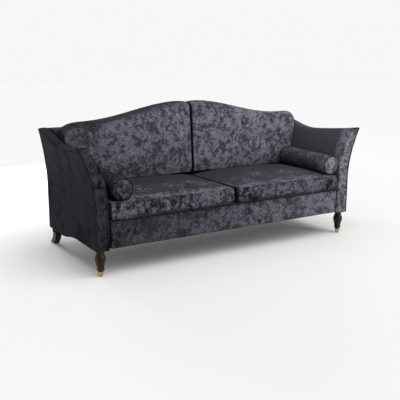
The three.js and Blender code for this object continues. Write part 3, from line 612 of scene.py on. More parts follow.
# Inside back: the padded back between the arms with its rolled camel-line top, over the webbing.
# The outside back is a velvet-covered panel from rail to roll, closed to the arms at both corners.
CREST_HALF, CAMEL_END = 0.040, 0.800
BACK_SHOULDER, BACK_CREST = 0.803, 0.925
INSIDE_BACK_LEAN = 0.0315
TOP_ROUND, BACK_ROLL_CROWN = 0.010, 0.002
BACK_STATIONS = 72


def hump(x):
    share = within((abs(x) - CREST_HALF) / (CAMEL_END - CREST_HALF), 0, 1)
    return (1 + math.cos(math.pi * share)) / 2


def back_top(x):
    return mix(BACK_SHOULDER, BACK_CREST, hump(x))


def inside_back(z):
    return INSIDE_BACK_DEPTH + INSIDE_BACK_LEAN * (z - DECK_HEIGHT) / (BACK_CREST - DECK_HEIGHT)


def back_section(x):
    top = back_top(x)
    under = top - ROLL
    front = inside_back(top)
    face = [(inside_back(z), z)
            for z in [mix(DECK_HEIGHT + FIT, top - TOP_ROUND, share) for share in shares(20)]]
    over = arc((front + TOP_ROUND, top - TOP_ROUND), TOP_ROUND, 180, 90, 5)[1:]
    behind = arc((BODY_DEPTH - TOP_ROUND, top - TOP_ROUND), TOP_ROUND, 90, 0, 5)
    crown = [(mix(over[-1][0], behind[0][0], share), top + BACK_ROLL_CROWN * math.sin(math.pi * share))
             for share in (0.2, 0.4, 0.6, 0.8)]
    return (face + over + crown + behind + [(BODY_DEPTH, under), (PAD_BACK, under)]
            + [(PAD_BACK, mix(under, DECK_HEIGHT + FIT, share)) for share in shares(8)][1:])


def across_back(name, section_at, reach):
    """A loft from side to side whose ends follow the leaning arms."""
    rings = []
    for share in shares(BACK_STATIONS):
        span = 2 * share - 1
        section = section_at(span * reach(BODY_DEPTH, BACK_SHOULDER))
        rings.append([(span * reach(depth, min(z, BACK_SHOULDER)), depth + FACING_PLANE, z)
                      for depth, z in section])
    return loft(name, rings)


inside_back_pad = across_back("inside_back", back_section, lambda depth, z: inner_x(depth, z) - SKIN_GAP)
ripple(inside_back_pad, depth=0.0012, scale=4.0, seed=7, loose=lambda normal: normal.z - 0.3)
lay_nap(inside_back_pad, 0.2, 0.3)
upholster(inside_back_pad, 0.75, "frame", "back_pad", "back_roll")


def outside_back_section(x):
    section = panel_section(SIDE_BOTTOM_REAR, back_top(x) - ROLL - SKIN_GAP, COVER, 30)
    return [(BODY_DEPTH - inset, z) for inset, z in section]


outside_back = across_back("outside_back", outside_back_section,
                           lambda depth, z: outer_x(depth, z) - COVER - SKIN_GAP)
ripple(outside_back, depth=0.0008, scale=3.5, seed=9, loose=lambda normal: normal.y)
lay_nap(outside_back, 0.3, 0.3)
upholster(outside_back, 0.9, "frame", "back_cover")


# Front border: a padded velvet panel under the seat cushions, tacked to the front rail, with a
# piped top edge and cloth returns in the gap at each end; piping and returns are painted dark as shade.
# Piping velvet: the same velvet painted several times darker, as the shade in seams and gaps.
shaded_piping_velvet = velvet_material("shaded_piping_velvet", (0.040, 0.040, 0.046, 1), (0.014, 0.014, 0.016, 1),
                                (0.006, 0.006, 0.007, 1))
BORDER_LOW, BORDER_HIGH = 0.165, DECK_HEIGHT - FIT
BORDER_BACK, BORDER_FRONT = 0.0217, 0.0135
BORDER_END_GAP, BORDER_LEFT_EASE = 0.007, 0.011
BORDER_EDGE, BORDER_RIPPLE, BORDER_CELLS = 0.0045, 0.0012, 64
border_half = inner_x(0, DECK_HEIGHT) - BORDER_END_GAP


def border_point(u, v, w):
    pull = BORDER_EDGE * max(0.0, -v) ** 2
    middle_z, half_z = (BORDER_LOW + BORDER_HIGH) / 2, (BORDER_HIGH - BORDER_LOW) / 2
    rim = max(abs(u) ** 60, abs(w) ** 14)
    swell = BORDER_RIPPLE * noise.noise(Vector((u * 13, 3, w * 2)))
    front = BORDER_FRONT + BORDER_EDGE * rim + swell * (1 - rim)
    reach = border_half - pull - (BORDER_LEFT_EASE if u < 0 else 0)
    return (u * reach, mix(front, BORDER_BACK, (v + 1) / 2) + FACING_PLANE,
            middle_z + w * (half_z - pull))


border = soft_block("front_border_panel", BORDER_CELLS, border_point)
END_SHADOW = 0.022


def lit_end(x):
    """0 in the shadow beside the left facing, 1 away from it."""
    return smooth(x, -border_half, END_SHADOW - border_half)


# Raised pile on the border, painted lighter to the right and on the front face, and none in the painted
# shadow beside the left facing.
def border_nap_and_light(place, normal):
    return along_sofa(place.x, 0.50, 0.70) * smooth(-normal.y, 0.2, 0.9) * lit_end(place.x)


# Its ground and tip brightness are painted lighter to the right, and its ground dark in that painted
# shadow.
lay_nap(border, border_nap_and_light, lambda place, normal: along_sofa(place.x, 0.12, 0.3) * lit_end(place.x),
        lambda place, normal: along_sofa(place.x, 0.27, 0.76))
upholster(border, 0.7, "frame", "front_border")


def cord_loft(name, path, radius, closed=False, sides=12):
    """Piping: a sewn cord of round section along a path of points."""
    points = [Vector(p) for p in path]
    count = len(points)
    rings = []
    for i, middle in enumerate(points):
        ahead = points[(i + 1) % count] if closed or i + 1 < count else middle
        behind = points[i - 1] if closed or i else middle
        along = (ahead - behind).normalized()
        across = along.cross(Vector((0, 0, 1)))
        if across.length < 0.3:
            across = along.cross(Vector((0, 1, 0)))
        across.normalize()
        up = across.cross(along).normalized()
        turn = [math.tau * k / sides for k in range(sides)]
        rings.append([middle + radius * (math.cos(a) * across + math.sin(a) * up) for a in turn])
    if closed:
        rings.append(rings[0])
    return loft(name, rings, 60)


BORDER_PIPING_RADIUS, PIPING_SUNK = 0.0032, 0.0005
piping_y = BORDER_FRONT + PIPING_SUNK - BORDER_PIPING_RADIUS + FACING_PLANE
border_piping = cord_loft(
    "border_piping_cord",
    [(mix(-border_half, border_half, share), piping_y, DECK_HEIGHT - BORDER_PIPING_RADIUS)
     for share in shares(90)], BORDER_PIPING_RADIUS)
# The piping is painted dark, as shade in the seam.
lay_nap(border_piping, 0.0, 0.3)
dress(border_piping, shaded_piping_velvet, "piping", "frame", "border_piping")


RETURN_LAP, RETURN_THICKNESS = 0.012, 0.0004
RETURN_LOW, RETURN_HIGH = BORDER_LOW + 0.004, BORDER_HIGH - 0.003


def return_point(side):
    inner = border_half - RETURN_LAP
    outer = inner_x(0, DECK_HEIGHT) - FIT

    def point(u, v, w):
        depth = mix(BORDER_BACK - RETURN_THICKNESS, BORDER_BACK, (v + 1) / 2)
        return (side * mix(inner, outer, (u + 1) / 2), depth + FACING_PLANE,
                mix(RETURN_LOW, RETURN_HIGH, (w + 1) / 2))
    return point


for name, side in SIDES.items():
    border_return = soft_block(f"border_return_{name}", 12, return_point(side))
    # The returns are painted the darkest pile, as the shade in the gap.
    lay_nap(border_return, 0.0, 0.0)
    dress(border_return, shaded_piping_velvet, "piping", "frame")


# Arm facings: a padded velvet front on each arm, rounded into the inside arm, with a piping cord up
# its outer edge and over its top, tacked to the arm post.
FACING_THICKNESS, FACING_STEP = 0.0217, 0.0072
FACING_FRONT, FACING_BACK = 0.003, 0.0085
FACING_LOW, FACING_INSET = 0.160, 0.0075
FACING_CROWN, FACING_PULL, FACING_DENT = 0.0022, 0.009, 0.0010
BACKING_PULL = 0.003


def facing_point(side):
    def point(u, v, w):
        pull = FACING_PULL * max(0.0, -v) ** 3
        z = mix(FACING_LOW + pull * 0.7, ARM_FRONT_HEIGHT - FACING_INSET - pull, (w + 1) / 2)
        outer = outer_x(0, z) - FACING_INSET - pull
        inner = inner_x(0, z) + 1.6 * pull
        crown = FACING_CROWN * (1 - u ** 4) * (1 - w ** 16)
        dent = FACING_DENT * noise.noise(Vector((u * 2, side * 3, w * 7)))
        y = mix(FACING_FRONT - crown - dent, FACING_BACK, (v + 1) / 2)
        return (side * mix(inner, outer, (u + 1) / 2), y + FACING_PLANE, z)
    return point


def backing_point(side):
    def point(u, v, w):
        z = mix(FACING_LOW + 0.002, ARM_FRONT_HEIGHT - 0.001, (w + 1) / 2)
        pull = BACKING_PULL * max(0.0, -v)
        x = mix(inner_x(0, z) + 0.0005 + pull, outer_x(0, z) - pull, (u + 1) / 2)
        return (side * x, mix(FACING_STEP, FACING_THICKNESS, (v + 1) / 2) + FACING_PLANE,
                z - pull * max(0.0, w) ** 8)
    return point


def facing_nap_and_shade(place, normal):
    """Raised pile on the facing's front. The left facing's is painted dimmer, as shade away from the
    light, and dark beside the seat towards the floor.
    """
    if place.x > 0:
        return smooth(-normal.y, -0.2, 0.3)
    inner = inner_x(0, place.z)
    beside_seat = smooth(-place.x, inner, inner + END_SHADOW)
    lit = max(beside_seat, smooth(place.z, 0.46, 0.56)) * smooth(-normal.y, 0.1, 0.7)
    return 0.42 * lit


FACING_CELLS, BACKING_CELLS = 40, 24
FACING_PIPING_RADIUS, PIPING_CORNER, PIPING_PROUD, PIPING_END = 0.0042, 0.006, 0.0006, 0.002
for name, side in SIDES.items():
    facing = soft_block(f"facing_{name}", FACING_CELLS, facing_point(side))
    # The left facing's ground and tip brightness are painted darker, and its tips darker towards the floor,
    # as painted shade.
    lay_nap(facing, facing_nap_and_shade, lambda place, normal: along_sofa(place.x, 0.03, 0.5),
            lambda place, normal: along_sofa(side, mix(0.15, 0.27, smooth(place.z, 0.25, 0.6)), 0.8))
    upholster(facing, 0.8, "frame", f"arm_facing_{name}")
    backing = soft_block(f"facing_backing_{name}", BACKING_CELLS, backing_point(side))
    # The left backing is painted the darkest pile, as shade in the gap beside the seat; the right one is
    # painted light.
    lay_nap(backing, along_sofa(side, 0.0, 0.9), along_sofa(side, 0.0, 0.7))
    upholster(backing, 0.9, "frame", f"arm_facing_{name}")
    inset = FACING_PIPING_RADIUS
    y = inset - PIPING_PROUD + FACING_PLANE
    high = ARM_FRONT_HEIGHT - inset
    line = [(outer_x(0, z) - inset, z)
            for z in [mix(FACING_LOW + PIPING_END, high - PIPING_CORNER, share) for share in shares(48)]]
    corner_x = outer_x(0, high) - inset - PIPING_CORNER
    line += arc((corner_x, high - PIPING_CORNER), PIPING_CORNER, 0, 90, 5)[1:]
    line += [(mix(corner_x, inner_x(0, high) + 2 * PIPING_END, share), high) for share in shares(6)[1:]]
    piping = cord_loft(f"facing_piping_cord_{name}", [(side * x, y, z) for x, z in line],
                       FACING_PIPING_RADIUS)
    # The cord's ground is painted dark, as shade along the facing's edge.
    lay_nap(piping, along_sofa(side, 0.1, 0.0), 0.05)
    dress(piping, velvet, "piping", "frame", f"facing_piping_{name}")


# Seat cushions: two loose feather-and-foam cushions in crushed velvet, crowned on top, with boxing
# between two sewn seams and piping in each seam. They lift and slide out of the frame.
CUSHION_GAP = 0.004
SEAT_NOSE, SEAT_SIDE_GAP = 0.010, 0.004
SEAT_SEAM, SEAT_CROWN = 0.437, 0.030
SEAM_DRAW, LOWER_SEAM_DRAW, CORNER_DRAW, CORNER_POWER = 0.006, 0.010, 0.014, 12
SEAT_PUCKER, SEAT_DENT = 0.0016, 0.003
SEAT_PIPING_RADIUS = 0.0022
seat_inner, seat_outer = CUSHION_GAP / 2, inner_x(0, DECK_HEIGHT) - SEAT_SIDE_GAP
seat_front, seat_back = -SEAT_NOSE, inside_back(DECK_HEIGHT) - FIT
seat_middle = (seat_inner + seat_outer) / 2, (seat_front + seat_back) / 2
seat_bottom = DECK_HEIGHT + FIT


def seat_outline(u, v, w):
    """Where the boxing's face lies at a height share w, -1 at the lower seam and 1 at the upper."""
    draw = (SEAM_DRAW if w > 0 else LOWER_SEAM_DRAW) * abs(w) ** 2.2
    half_x = (seat_outer - seat_inner) / 2 - draw - CORNER_DRAW * abs(v) ** CORNER_POWER
    half_y = (seat_back - seat_front) / 2 - draw - CORNER_DRAW * abs(u) ** CORNER_POWER
    return seat_middle[0] + u * half_x, seat_middle[1] + v * half_y


def seat_point(side):
    def point(u, v, w):
        x, y = seat_outline(u, v, w)
        dome = (1 - abs(u) ** 4) * (1 - abs(v) ** 3)
        pucker = SEAT_PUCKER * noise.noise(Vector((x * 26, y * 26, side * 4 + w * 0.7)))
        rim = max(abs(u), abs(v)) ** 10
        top = SEAT_SEAM + SEAT_CROWN * dome + SEAT_DENT * noise.noise(Vector((x * 7, y * 7, side))) * dome
        if max(abs(u), abs(v)) > 0.999 and abs(w) < 0.999:
            outward = 1 + pucker * 2
            x = seat_middle[0] + (x - seat_middle[0]) * outward
            y = seat_middle[1] + (y - seat_middle[1]) * outward
        z = mix(seat_bottom, top, (w + 1) / 2) + pucker * rim * (1 if w > 0 else 0) * 0.5
        return (side * x, y + FACING_PLANE, z)
    return point


def out_of_groove_shade(x):
    """0 in the groove between two cushions, where shade is painted, 1 away from it."""
    return smooth(abs(x), 0.003, 0.018)


def lit_side(place):
    """0 where shade is painted, in the groove and at the left arm's foot, 1 away from them."""
    return out_of_groove_shade(place.x) * lit_end(place.x)


# Raised pile on the seat, painted light on faces turned to the front and on the top near its front edge,
# dimmer lower down the front as painted shade, and none in the painted shade of the groove and the left
# arm's foot.
def seat_nap_and_light(place, normal):
    depth = place.y - FACING_PLANE - seat_front
    front = along_sofa(place.x, 0.44, 0.42) * smooth(-normal.y, 0.15, 0.8)
    spill = max(0.46 * (1 - smooth(depth, 0.02, 0.17)), 0.24 * (1 - smooth(depth, 0.18, 0.44)))
    crushed = max(front * mix(0.45, 1, smooth(place.z, 0.335, 0.37)), spill * max(0.0, normal.z), 0.02)
    return crushed * lit_side(place)


# Ground, painted lighter on the top towards the right and darker on the sides, and dark in the painted
# shade of the groove and the left arm's foot.
def seat_tone_and_shade(place, normal):
    return mix(0.12, along_sofa(place.x, 0.23, 0.48), max(0.0, normal.z)) * lit_side(place)


def seat_lift(place, normal):
    """How bright the raised pile's painted sheen shows: crushed pile on the front; on the top only
    scattered wisps, each nearly as bright.
    """
    depth = place.y - FACING_PLANE - seat_front
    return mix(along_sofa(place.x, 0.92, 0.84), 1.5, smooth(depth, 0.06, 0.18) * max(0.0, normal.z))


def seam_path(side, height_share, z, steps=60):
    """The line of a seam round a seat cushion."""
    path = []
    corners = [(-1, -1), (1, -1), (1, 1), (-1, 1)]
    for (u0, v0), (u1, v1) in zip(corners, corners[1:] + corners[:1]):
        for share in shares(steps)[:-1]:
            t = math.sin((2 * share - 1) * math.pi / 2) / 2 + 0.5
            u, v = mix(u0, u1, t), mix(v0, v1, t)
            x, y = seat_outline(u, v, height_share)
            path.append((side * x, y + FACING_PLANE, z))
    return path


BOLSTER_RADIUS, BOLSTER_LENGTH, BOLSTER_END = 0.065, 0.520, 0.02
BOLSTER_SHIFT = {"right": Vector((0.006, -0.004, 0)), "left": Vector((0, -0.004, -0.008))}


def bolster_line(name):
    """Middle and direction of the bolster that rests on this side's cushion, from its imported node."""
    places = [vertex.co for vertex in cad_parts[f"bolster_{name}"].data.vertices]
    front_y, back_y = min(p.y for p in places), max(p.y for p in places)
    front = [p for p in places if p.y < front_y + BOLSTER_END]
    back = [p for p in places if p.y > back_y - BOLSTER_END]
    front_middle, back_middle = (sum(end, Vector()) / len(end) for end in (front, back))
    return (front_middle + back_middle) / 2 + BOLSTER_SHIFT[name], (back_middle - front_middle).normalized()


bolster_lines = {name: bolster_line(name) for name in SIDES}
BACK_CUSHION_BOTTOM, BACK_CUSHION_FRONT = 0.465, 0.549
FILL_FRAMES, FILL_PRESSURE, FILL_CAP = 20, 4.0, 0.008
DENT_RADIUS, DENT_END, DENT_RELIEF = BOLSTER_RADIUS + 0.0045, 0.030, 0.03
CUSHION_EASE, SEAT_BULGE = 0.0012, 0.0025
UNDER_BACK_GAP, FREE_RISE, FREE_TO, HELD_FROM = 0.0006, 0.03, 0.49, BACK_CUSHION_FRONT - 0.006


def fill_cover(piece, cap, keep):
    """Swells a cover held by its seams, as cloth under pressure, and keeps it in its own space."""
    start = [vertex.co.copy() for vertex in piece.data.vertices]
    cloth = piece.modifiers.new("filling", "CLOTH")
    cloth.settings.quality, cloth.settings.mass = 4, 0.35
    cloth.settings.tension_stiffness = cloth.settings.compression_stiffness = 22.0
    cloth.settings.shear_stiffness, cloth.settings.bending_stiffness = 8.0, 0.6
    cloth.settings.use_pressure = True
    cloth.settings.uniform_pressure_force = FILL_PRESSURE
    cloth.settings.vertex_group_mass = "seams"
    cloth.settings.effector_weights.gravity = 0.0
    cloth.collision_settings.use_collision = False
    for moment in range(1, FILL_FRAMES + 1):
        bpy.context.scene.frame_set(moment)
    bpy.ops.object.modifier_apply(modifier="filling")
    bpy.context.scene.frame_set(1)
    for vertex, place in zip(piece.data.vertices, start):
        move = vertex.co - place
        vertex.co = keep(place + move * min(1.0, cap / max(move.length, 1e-6)))
    finer = piece.modifiers.new("finer", "SUBSURF")
    finer.levels = finer.render_levels = 1
    bpy.ops.object.modifier_apply(modifier="finer")


def under_bolster(place, name):
    """Height that the bolster's weight leaves for the cushion's top."""
    middle, axis = bolster_lines[name]
    along = (place - middle).dot(axis)
    beside = middle + axis * along
    past_end = abs(along) - BOLSTER_LENGTH / 2
    if past_end > DENT_END or abs(place.x - beside.x) > DENT_RADIUS:
        return place.z
    relief = DENT_RELIEF * smooth(past_end, 0.0, DENT_END)
    return beside.z - math.sqrt(DENT_RADIUS ** 2 - (place.x - beside.x) ** 2) + relief


def keep_seat(name):
    def keep(place):
        x = within(abs(place.x), seat_inner - CUSHION_EASE, seat_outer + SEAT_BULGE)
        depth = min(place.y - FACING_PLANE, seat_back)
        in_front = 1 - smooth(depth, FREE_TO, HELD_FROM)
        under_back = BACK_CUSHION_BOTTOM - UNDER_BACK_GAP + FREE_RISE * in_front
        z = min(place.z, under_back, under_bolster(place, name))
        return Vector((math.copysign(x, place.x), depth + FACING_PLANE, max(z, seat_bottom)))
    return keep


CUSHION_CELLS = 40
for name, side in SIDES.items():
    cushion = soft_block(f"seat_cushion_soft_{name}", CUSHION_CELLS, seat_point(side))
    fill_cover(cushion, FILL_CAP, keep_seat(name))
    lay_nap(cushion, seat_nap_and_light, seat_tone_and_shade, seat_lift)
    upholster(cushion, 0.8, f"seat_{name}", f"seat_cushion_{name}")
    for level, share, z in (("upper", 1, SEAT_SEAM), ("lower", -1, seat_bottom + SEAT_PIPING_RADIUS)):
        cord = cord_loft(f"seat_{level}_piping_{name}", seam_path(side, share, z), SEAT_PIPING_RADIUS,
                         closed=True, sides=10)
        # The piping shares the seat's painted light and shade, a little dimmer.
        lay_nap(cord, lambda place, normal: 0.7 * seat_nap_and_light(place, normal), seat_tone_and_shade)
        dress(cord, velvet, "piping", f"seat_{name}")


# Back cushions: two loose cushions shaped to the camel line, leaning on the inside back, their
# crowned fronts sewn to a narrow boxing that rolls over the top. The left one slopes more outside.
BACK_CUSHION_LEAN = 0.036
CUSHION_SHOULDER, CUSHION_CREST = 0.853, 0.962
BACK_CROWN, BACK_BOXING, BACK_FOOT = 0.003, 0.028, 0.012
BACK_SIDE, BACK_SIDE_GAP = 0.936, 0.004
GAP_DROP, BACK_DENT, TOP_EASE = 0.009, 0.004, 0.0015
OUTER_DROP = {"right": 0.030, "left": 0.046}
OUTER_POWER = {"right": 60, "left": 10}


def cushion_top(x):
    return mix(CUSHION_SHOULDER, CUSHION_CREST, hump(x))


def back_cushion_point(side, outer_drop, outer_power):
    def point(u, v, w):
        rise, reach = (w + 1) / 2, (u + 1) / 2
        inner = CUSHION_GAP / 2
        plain_x = mix(inner, BACK_SIDE, reach)
        drop = outer_drop * u ** outer_power if u > 0 else GAP_DROP * abs(u) ** CORNER_POWER
        top = cushion_top(plain_x) - BACK_BOXING * v ** 2 - drop
        z = mix(BACK_CUSHION_BOTTOM, top, rise)
        limit = min(BACK_SIDE, inner_x(INSIDE_BACK_DEPTH, z) - BACK_SIDE_GAP)
        x = mix(inner, limit, reach) - SEAM_DRAW * u * v ** 2
        lean = (z - BACK_CUSHION_BOTTOM) / (CUSHION_CREST - BACK_CUSHION_BOTTOM)
        dome = (1 - abs(u) ** 4) * (1 - abs(w) ** 4)
        foot = BACK_FOOT * max(0.0, -w) ** CORNER_POWER
        dent = BACK_DENT * noise.noise(Vector((x * 6, side * 5, z * 6))) * dome
        front = BACK_CUSHION_FRONT + BACK_CUSHION_LEAN * lean - BACK_CROWN * dome + foot - dent
        back = inside_back(z) - FIT - SEAM_DRAW * abs(u) ** CORNER_POWER
        return (side * max(x, inner), mix(front, back, (v + 1) / 2) + FACING_PLANE, z)
    return point


# Raised pile on the back cushions, painted light on faces turned to the front and less on the sides, dimmer
# towards the left end and on the left's top boxing, and none in the painted shade of the groove.
def back_cushion_nap_and_light(place, normal):
    front = smooth(-normal.y + along_sofa(place.x, 0.25, 0.6) * max(0.0, normal.z), 0.3, 0.9)
    side = 0.5 * smooth(abs(normal.x), 0.3, 0.9)
    under_edge = cushion_top(place.x) - BACK_BOXING - place.z
    edge = along_sofa(place.x, smooth(under_edge, -0.03, 0.03), 1)
    crushed = max(0.06, mix(0.45, 0.78, smooth(place.x, -0.95, -0.6)) * along_sofa(place.x, 0.9, 1.12)
                  * edge * max(front, side))
    return crushed * out_of_groove_shade(place.x)


# Ground, painted a little darker to the left, and dark in the painted shade of the groove.
def back_cushion_tone_and_shade(place, normal):
    return along_sofa(place.x, 0.26, 0.34) * out_of_groove_shade(place.x)


# Painted sheen, dimmer towards the left and on faces turned up.
def back_cushion_lift(place, normal):
    return along_sofa(place.x, 0.74, 0.98) * mix(0.96, 0.8, smooth(normal.z, 0.25, 0.9))


def keep_back(place):
    x = within(abs(place.x), seat_inner - CUSHION_EASE, inner_x(INSIDE_BACK_DEPTH, place.z) - SKIN_GAP)
    y = min(place.y, inside_back(place.z) - FIT + FACING_PLANE)
    z = within(place.z, BACK_CUSHION_BOTTOM, cushion_top(place.x) + TOP_EASE)
    return Vector((math.copysign(x, place.x), y, z))


for name, side in SIDES.items():
    cushion = soft_block(f"back_cushion_soft_{name}", CUSHION_CELLS,
                         back_cushion_point(side, OUTER_DROP[name], OUTER_POWER[name]))
    fill_cover(cushion, FILL_CAP, keep_back)
    lay_nap(cushion, back_cushion_nap_and_light, back_cushion_tone_and_shade, back_cushion_lift)
    upholster(cushion, 0.75, f"back_{name}", f"back_cushion_{name}")


# Bolsters: a round cushion lying along each arm, softly swollen, its flat crowned ends sewn in with
# piping. Each lies in a hollow of its seat cushion and lifts away.
BOLSTER_SWELL, BOLSTER_END_CROWN, BOLSTER_PIPING = 0.003, 0.009, 0.003
BOLSTER_EASE, BOLSTER_DENT, BOLSTER_CAP = 0.0015, 0.0013, 0.003
BOLSTER_FACETS, CORD_POINTS = 64, 72
END_STEPS, SEAM_REACH = (0.003, 0.006, 0.009), 0.0045
CORD_INSET, CORD_SUNK = 0.001, 0.0012
# The left bolster's raised pile is painted dimmer than the right's, as painted shade.
BOLSTER_NAP_AND_LIGHT = {"right": 0.78, "left": 0.6}
BOLSTER_SHEEN_LIFT = {"right": 1.0, "left": 0.42}


for name, side in SIDES.items():
    middle, axis = bolster_lines[name]
    across = axis.cross(Vector((0, 0, 1))).normalized()
    up = across.cross(axis)
    half = BOLSTER_LENGTH / 2
    seam = half - BOLSTER_END_CROWN
    end_radius = BOLSTER_RADIUS - BOLSTER_PIPING
    body_end, body_radius = seam - END_STEPS[2], BOLSTER_RADIUS - BOLSTER_EASE
    profile = [(share * end_radius, half - BOLSTER_END_CROWN * (share * end_radius / BOLSTER_RADIUS) ** 2)
               for share in shares(10)]
    profile += [(BOLSTER_RADIUS - CORD_INSET, seam - END_STEPS[0]), (body_radius, seam - END_STEPS[1])]
    end_points = len(profile)
    profile += [(body_radius + BOLSTER_SWELL * (1 - (along / seam) ** 6), along)
                for along in [mix(body_end, -body_end, share) for share in shares(44)]]
    profile += [(r, -along) for r, along in reversed(profile[:end_points])]
    rings = []
    for r, along in profile:
        ring = []
        for k in range(BOLSTER_FACETS):
            angle = math.tau * k / BOLSTER_FACETS
            spot = Vector((math.cos(angle) * 1.5, math.sin(angle) * 1.5, along * 14 + side * 9))
            grown = r + BOLSTER_DENT * noise.noise(spot) * min(1.0, r / BOLSTER_RADIUS)
            ring.append(middle - along * axis + grown * (math.cos(angle) * across + math.sin(angle) * up))
        rings.append(ring)
    bolster = loft(f"bolster_soft_{name}", rings, 50)
    sewn = [v.index for v in bolster.data.vertices
            if abs(abs((v.co - middle).dot(axis)) - seam) < SEAM_REACH]
    bolster.vertex_groups.new(name="seams").add(sewn, 1.0, "ADD")
    fill_cover(bolster, BOLSTER_CAP, lambda place: place)

    # Raised pile, painted light on the ends and along the body near the front end, as painted sheen.
    def bolster_nap_and_light(place, normal):
        end = smooth(abs(normal.dot(axis)), 0.5, 0.9)
        depth = (place - middle).dot(axis) + half
        return BOLSTER_NAP_AND_LIGHT[name] * max(end, mix(0.75, 0.34, smooth(depth, 0.0, 0.08)))

    # Ground, painted dark on the left bolster as shade and light on the right one.
    def bolster_tone_and_shade(place, normal):
        return along_sofa(side, 0.09, mix(0.52, 0.36, smooth(abs(normal.dot(axis)), 0.5, 0.9)))

    lay_nap(bolster, bolster_nap_and_light, bolster_tone_and_shade, BOLSTER_SHEEN_LIFT[name])
    upholster(bolster, 0.85, f"roll_{name}", f"bolster_{name}")
    for end, sign in (("front", -1), ("back", 1)):
        path = [middle + sign * (seam - CORD_INSET) * axis
                + (BOLSTER_RADIUS - CORD_SUNK) * (math.cos(a) * across + math.sin(a) * up)
                for a in [math.tau * k / CORD_POINTS for k in range(CORD_POINTS)]]
        cord = cord_loft(f"bolster_{end}_piping_{name}", path, BOLSTER_PIPING, closed=True, sides=10)
        # The end piping is painted dark, as shade at the seam.
        lay_nap(cord, 0.0, 0.3)
        dress(cord, shaded_piping_velvet, "piping", f"roll_{name}")


# Front legs: turned walnut, stained dark and lacquered, with a collar, a vase-shaped bulge, a bead
# and a brass cup on the tip.
walnut = wood_material("walnut_lacquered", 2, (0.052, 0.0262, 0.0135, 1), (0.0014, 0.0008, 0.0005, 1),
                       {"Roughness": 0.4, "Specular IOR Level": 0.05, "Coat Weight": 0.22,
                        "Coat Roughness": 0.05})
brass = metal_material("brass_cup", 0.28, film=(90, 0.45, 0.75), clean=(0.52, 0.34, 0.15, 1),
                       stained=(0.26, 0.15, 0.07, 1), dulling=(0.2, 0.5), scratches=(700, 0.25))
FRONT_LEG = (0.932, 0.046)
LEG_FACETS = 56


def turned(name, middle_x, middle_y, profile):
    """A disc drawn up through a profile of radii and heights by extruding and scaling it."""
    clear_selection()
    radius, height = profile[0]
    bpy.ops.mesh.primitive_circle_add(vertices=LEG_FACETS, radius=radius, fill_type="NGON",
                                      location=(middle_x, middle_y, height))
    piece = name_piece(name)
    edit_mesh()
    for next_radius, next_height in profile[1:]:
        bpy.ops.mesh.extrude_region_move(
            TRANSFORM_OT_translate={"value": (0, 0, next_height - height)})
        grow = next_radius / radius
        bpy.ops.transform.resize(value=(grow, grow, 1), center_override=(middle_x, middle_y, next_height))
        radius, height = next_radius, next_height
    bpy.ops.object.mode_set(mode="OBJECT")
    bpy.ops.object.transform_apply(location=True, rotation=True, scale=True)
    settle(crease=32)
    return piece


def curve_through(points, count):
    """Points of a smooth line through the given radii and heights."""
    line = []
    for i in range(len(points) - 1):
        before = points[max(i - 1, 0)]
        start, end = points[i], points[i + 1]
        after = points[min(i + 2, len(points) - 1)]
        for share in shares(count)[:-1]:
            t2, t3 = share ** 2, share ** 3
            line.append(tuple(
                0.5 * (2 * start[k] + (end[k] - before[k]) * share
                       + (2 * before[k] - 5 * start[k] + 4 * end[k] - after[k]) * t2
                       + (3 * start[k] - before[k] - 3 * end[k] + after[k]) * t3) for k in (0, 1)))
    return line + [points[-1]]


bead = [(0.021 + 0.0042 * math.sin(math.pi * share), 0.042 + 0.010 * share) for share in shares(8)]
swell = curve_through(
    [(0.0205, 0.056), (0.0255, 0.076), (0.0325, 0.108), (0.0262, 0.132), (0.0200, 0.1425)], 7)
leg_profile = ([(0.0090, 0.005), (0.0145, 0.031), (0.0160, 0.0318), (0.0195, 0.038)] + bead + swell
               + [(0.0206, 0.1442), (0.0235, 0.1450), (0.0248, 0.1475), (0.0250, 0.1570), (0.0240, 0.1597)])
cup_profile = ([(0.0092, 0.0), (0.0108, 0.0008), (0.0113, 0.0030)]
               + [(mix(0.0113, 0.0156, share), mix(0.003, 0.0285, share)) for share in shares(5)[1:]]
               + [(0.0166, 0.0290), (0.0166, 0.0306), (0.0160, 0.0312)])
for name, side in SIDES.items():
    leg = turned(f"turned_leg_{name}", side * FRONT_LEG[0], FRONT_LEG[1] + FACING_PLANE, leg_profile)
    dress(leg, walnut, "walnut", "frame", f"front_leg_{name}")
    cup = turned(f"brass_cup_{name}", side * FRONT_LEG[0], FRONT_LEG[1] + FACING_PLANE, cup_profile)
    dress(cup, brass, "brass", "frame", f"leg_ferrule_{name}")


# Rear legs: square walnut legs swept back and slimmed to the foot, their edges eased, each under a
# close velvet collar where the leg enters the upholstery.
REAR_LEG_X, REAR_LEG_WIDTH, REAR_FOOT_WIDTH = 0.928, 0.044, 0.040
REAR_TOP_FRONT, REAR_TOP_BACK = 0.788, 0.844
REAR_FOOT_FRONT, REAR_FOOT_BACK = 0.848, 0.914
REAR_STRAIGHT_TO, REAR_SWEEP = 0.090, 0.045
REAR_LEG_TOP = SIDE_BOTTOM_REAR
REAR_EASE = 0.003
COLLAR_WALL, COLLAR_ROUND = 0.003, 0.004


def swept(top_depth, foot_depth, share):
    """A point of the leg's edge from its straight part down to its foot: depth and height."""
    a, b, c = (1 - share) ** 2, 2 * share * (1 - share), share ** 2
    return a * top_depth + b * top_depth + c * foot_depth, a * REAR_STRAIGHT_TO + b * REAR_SWEEP


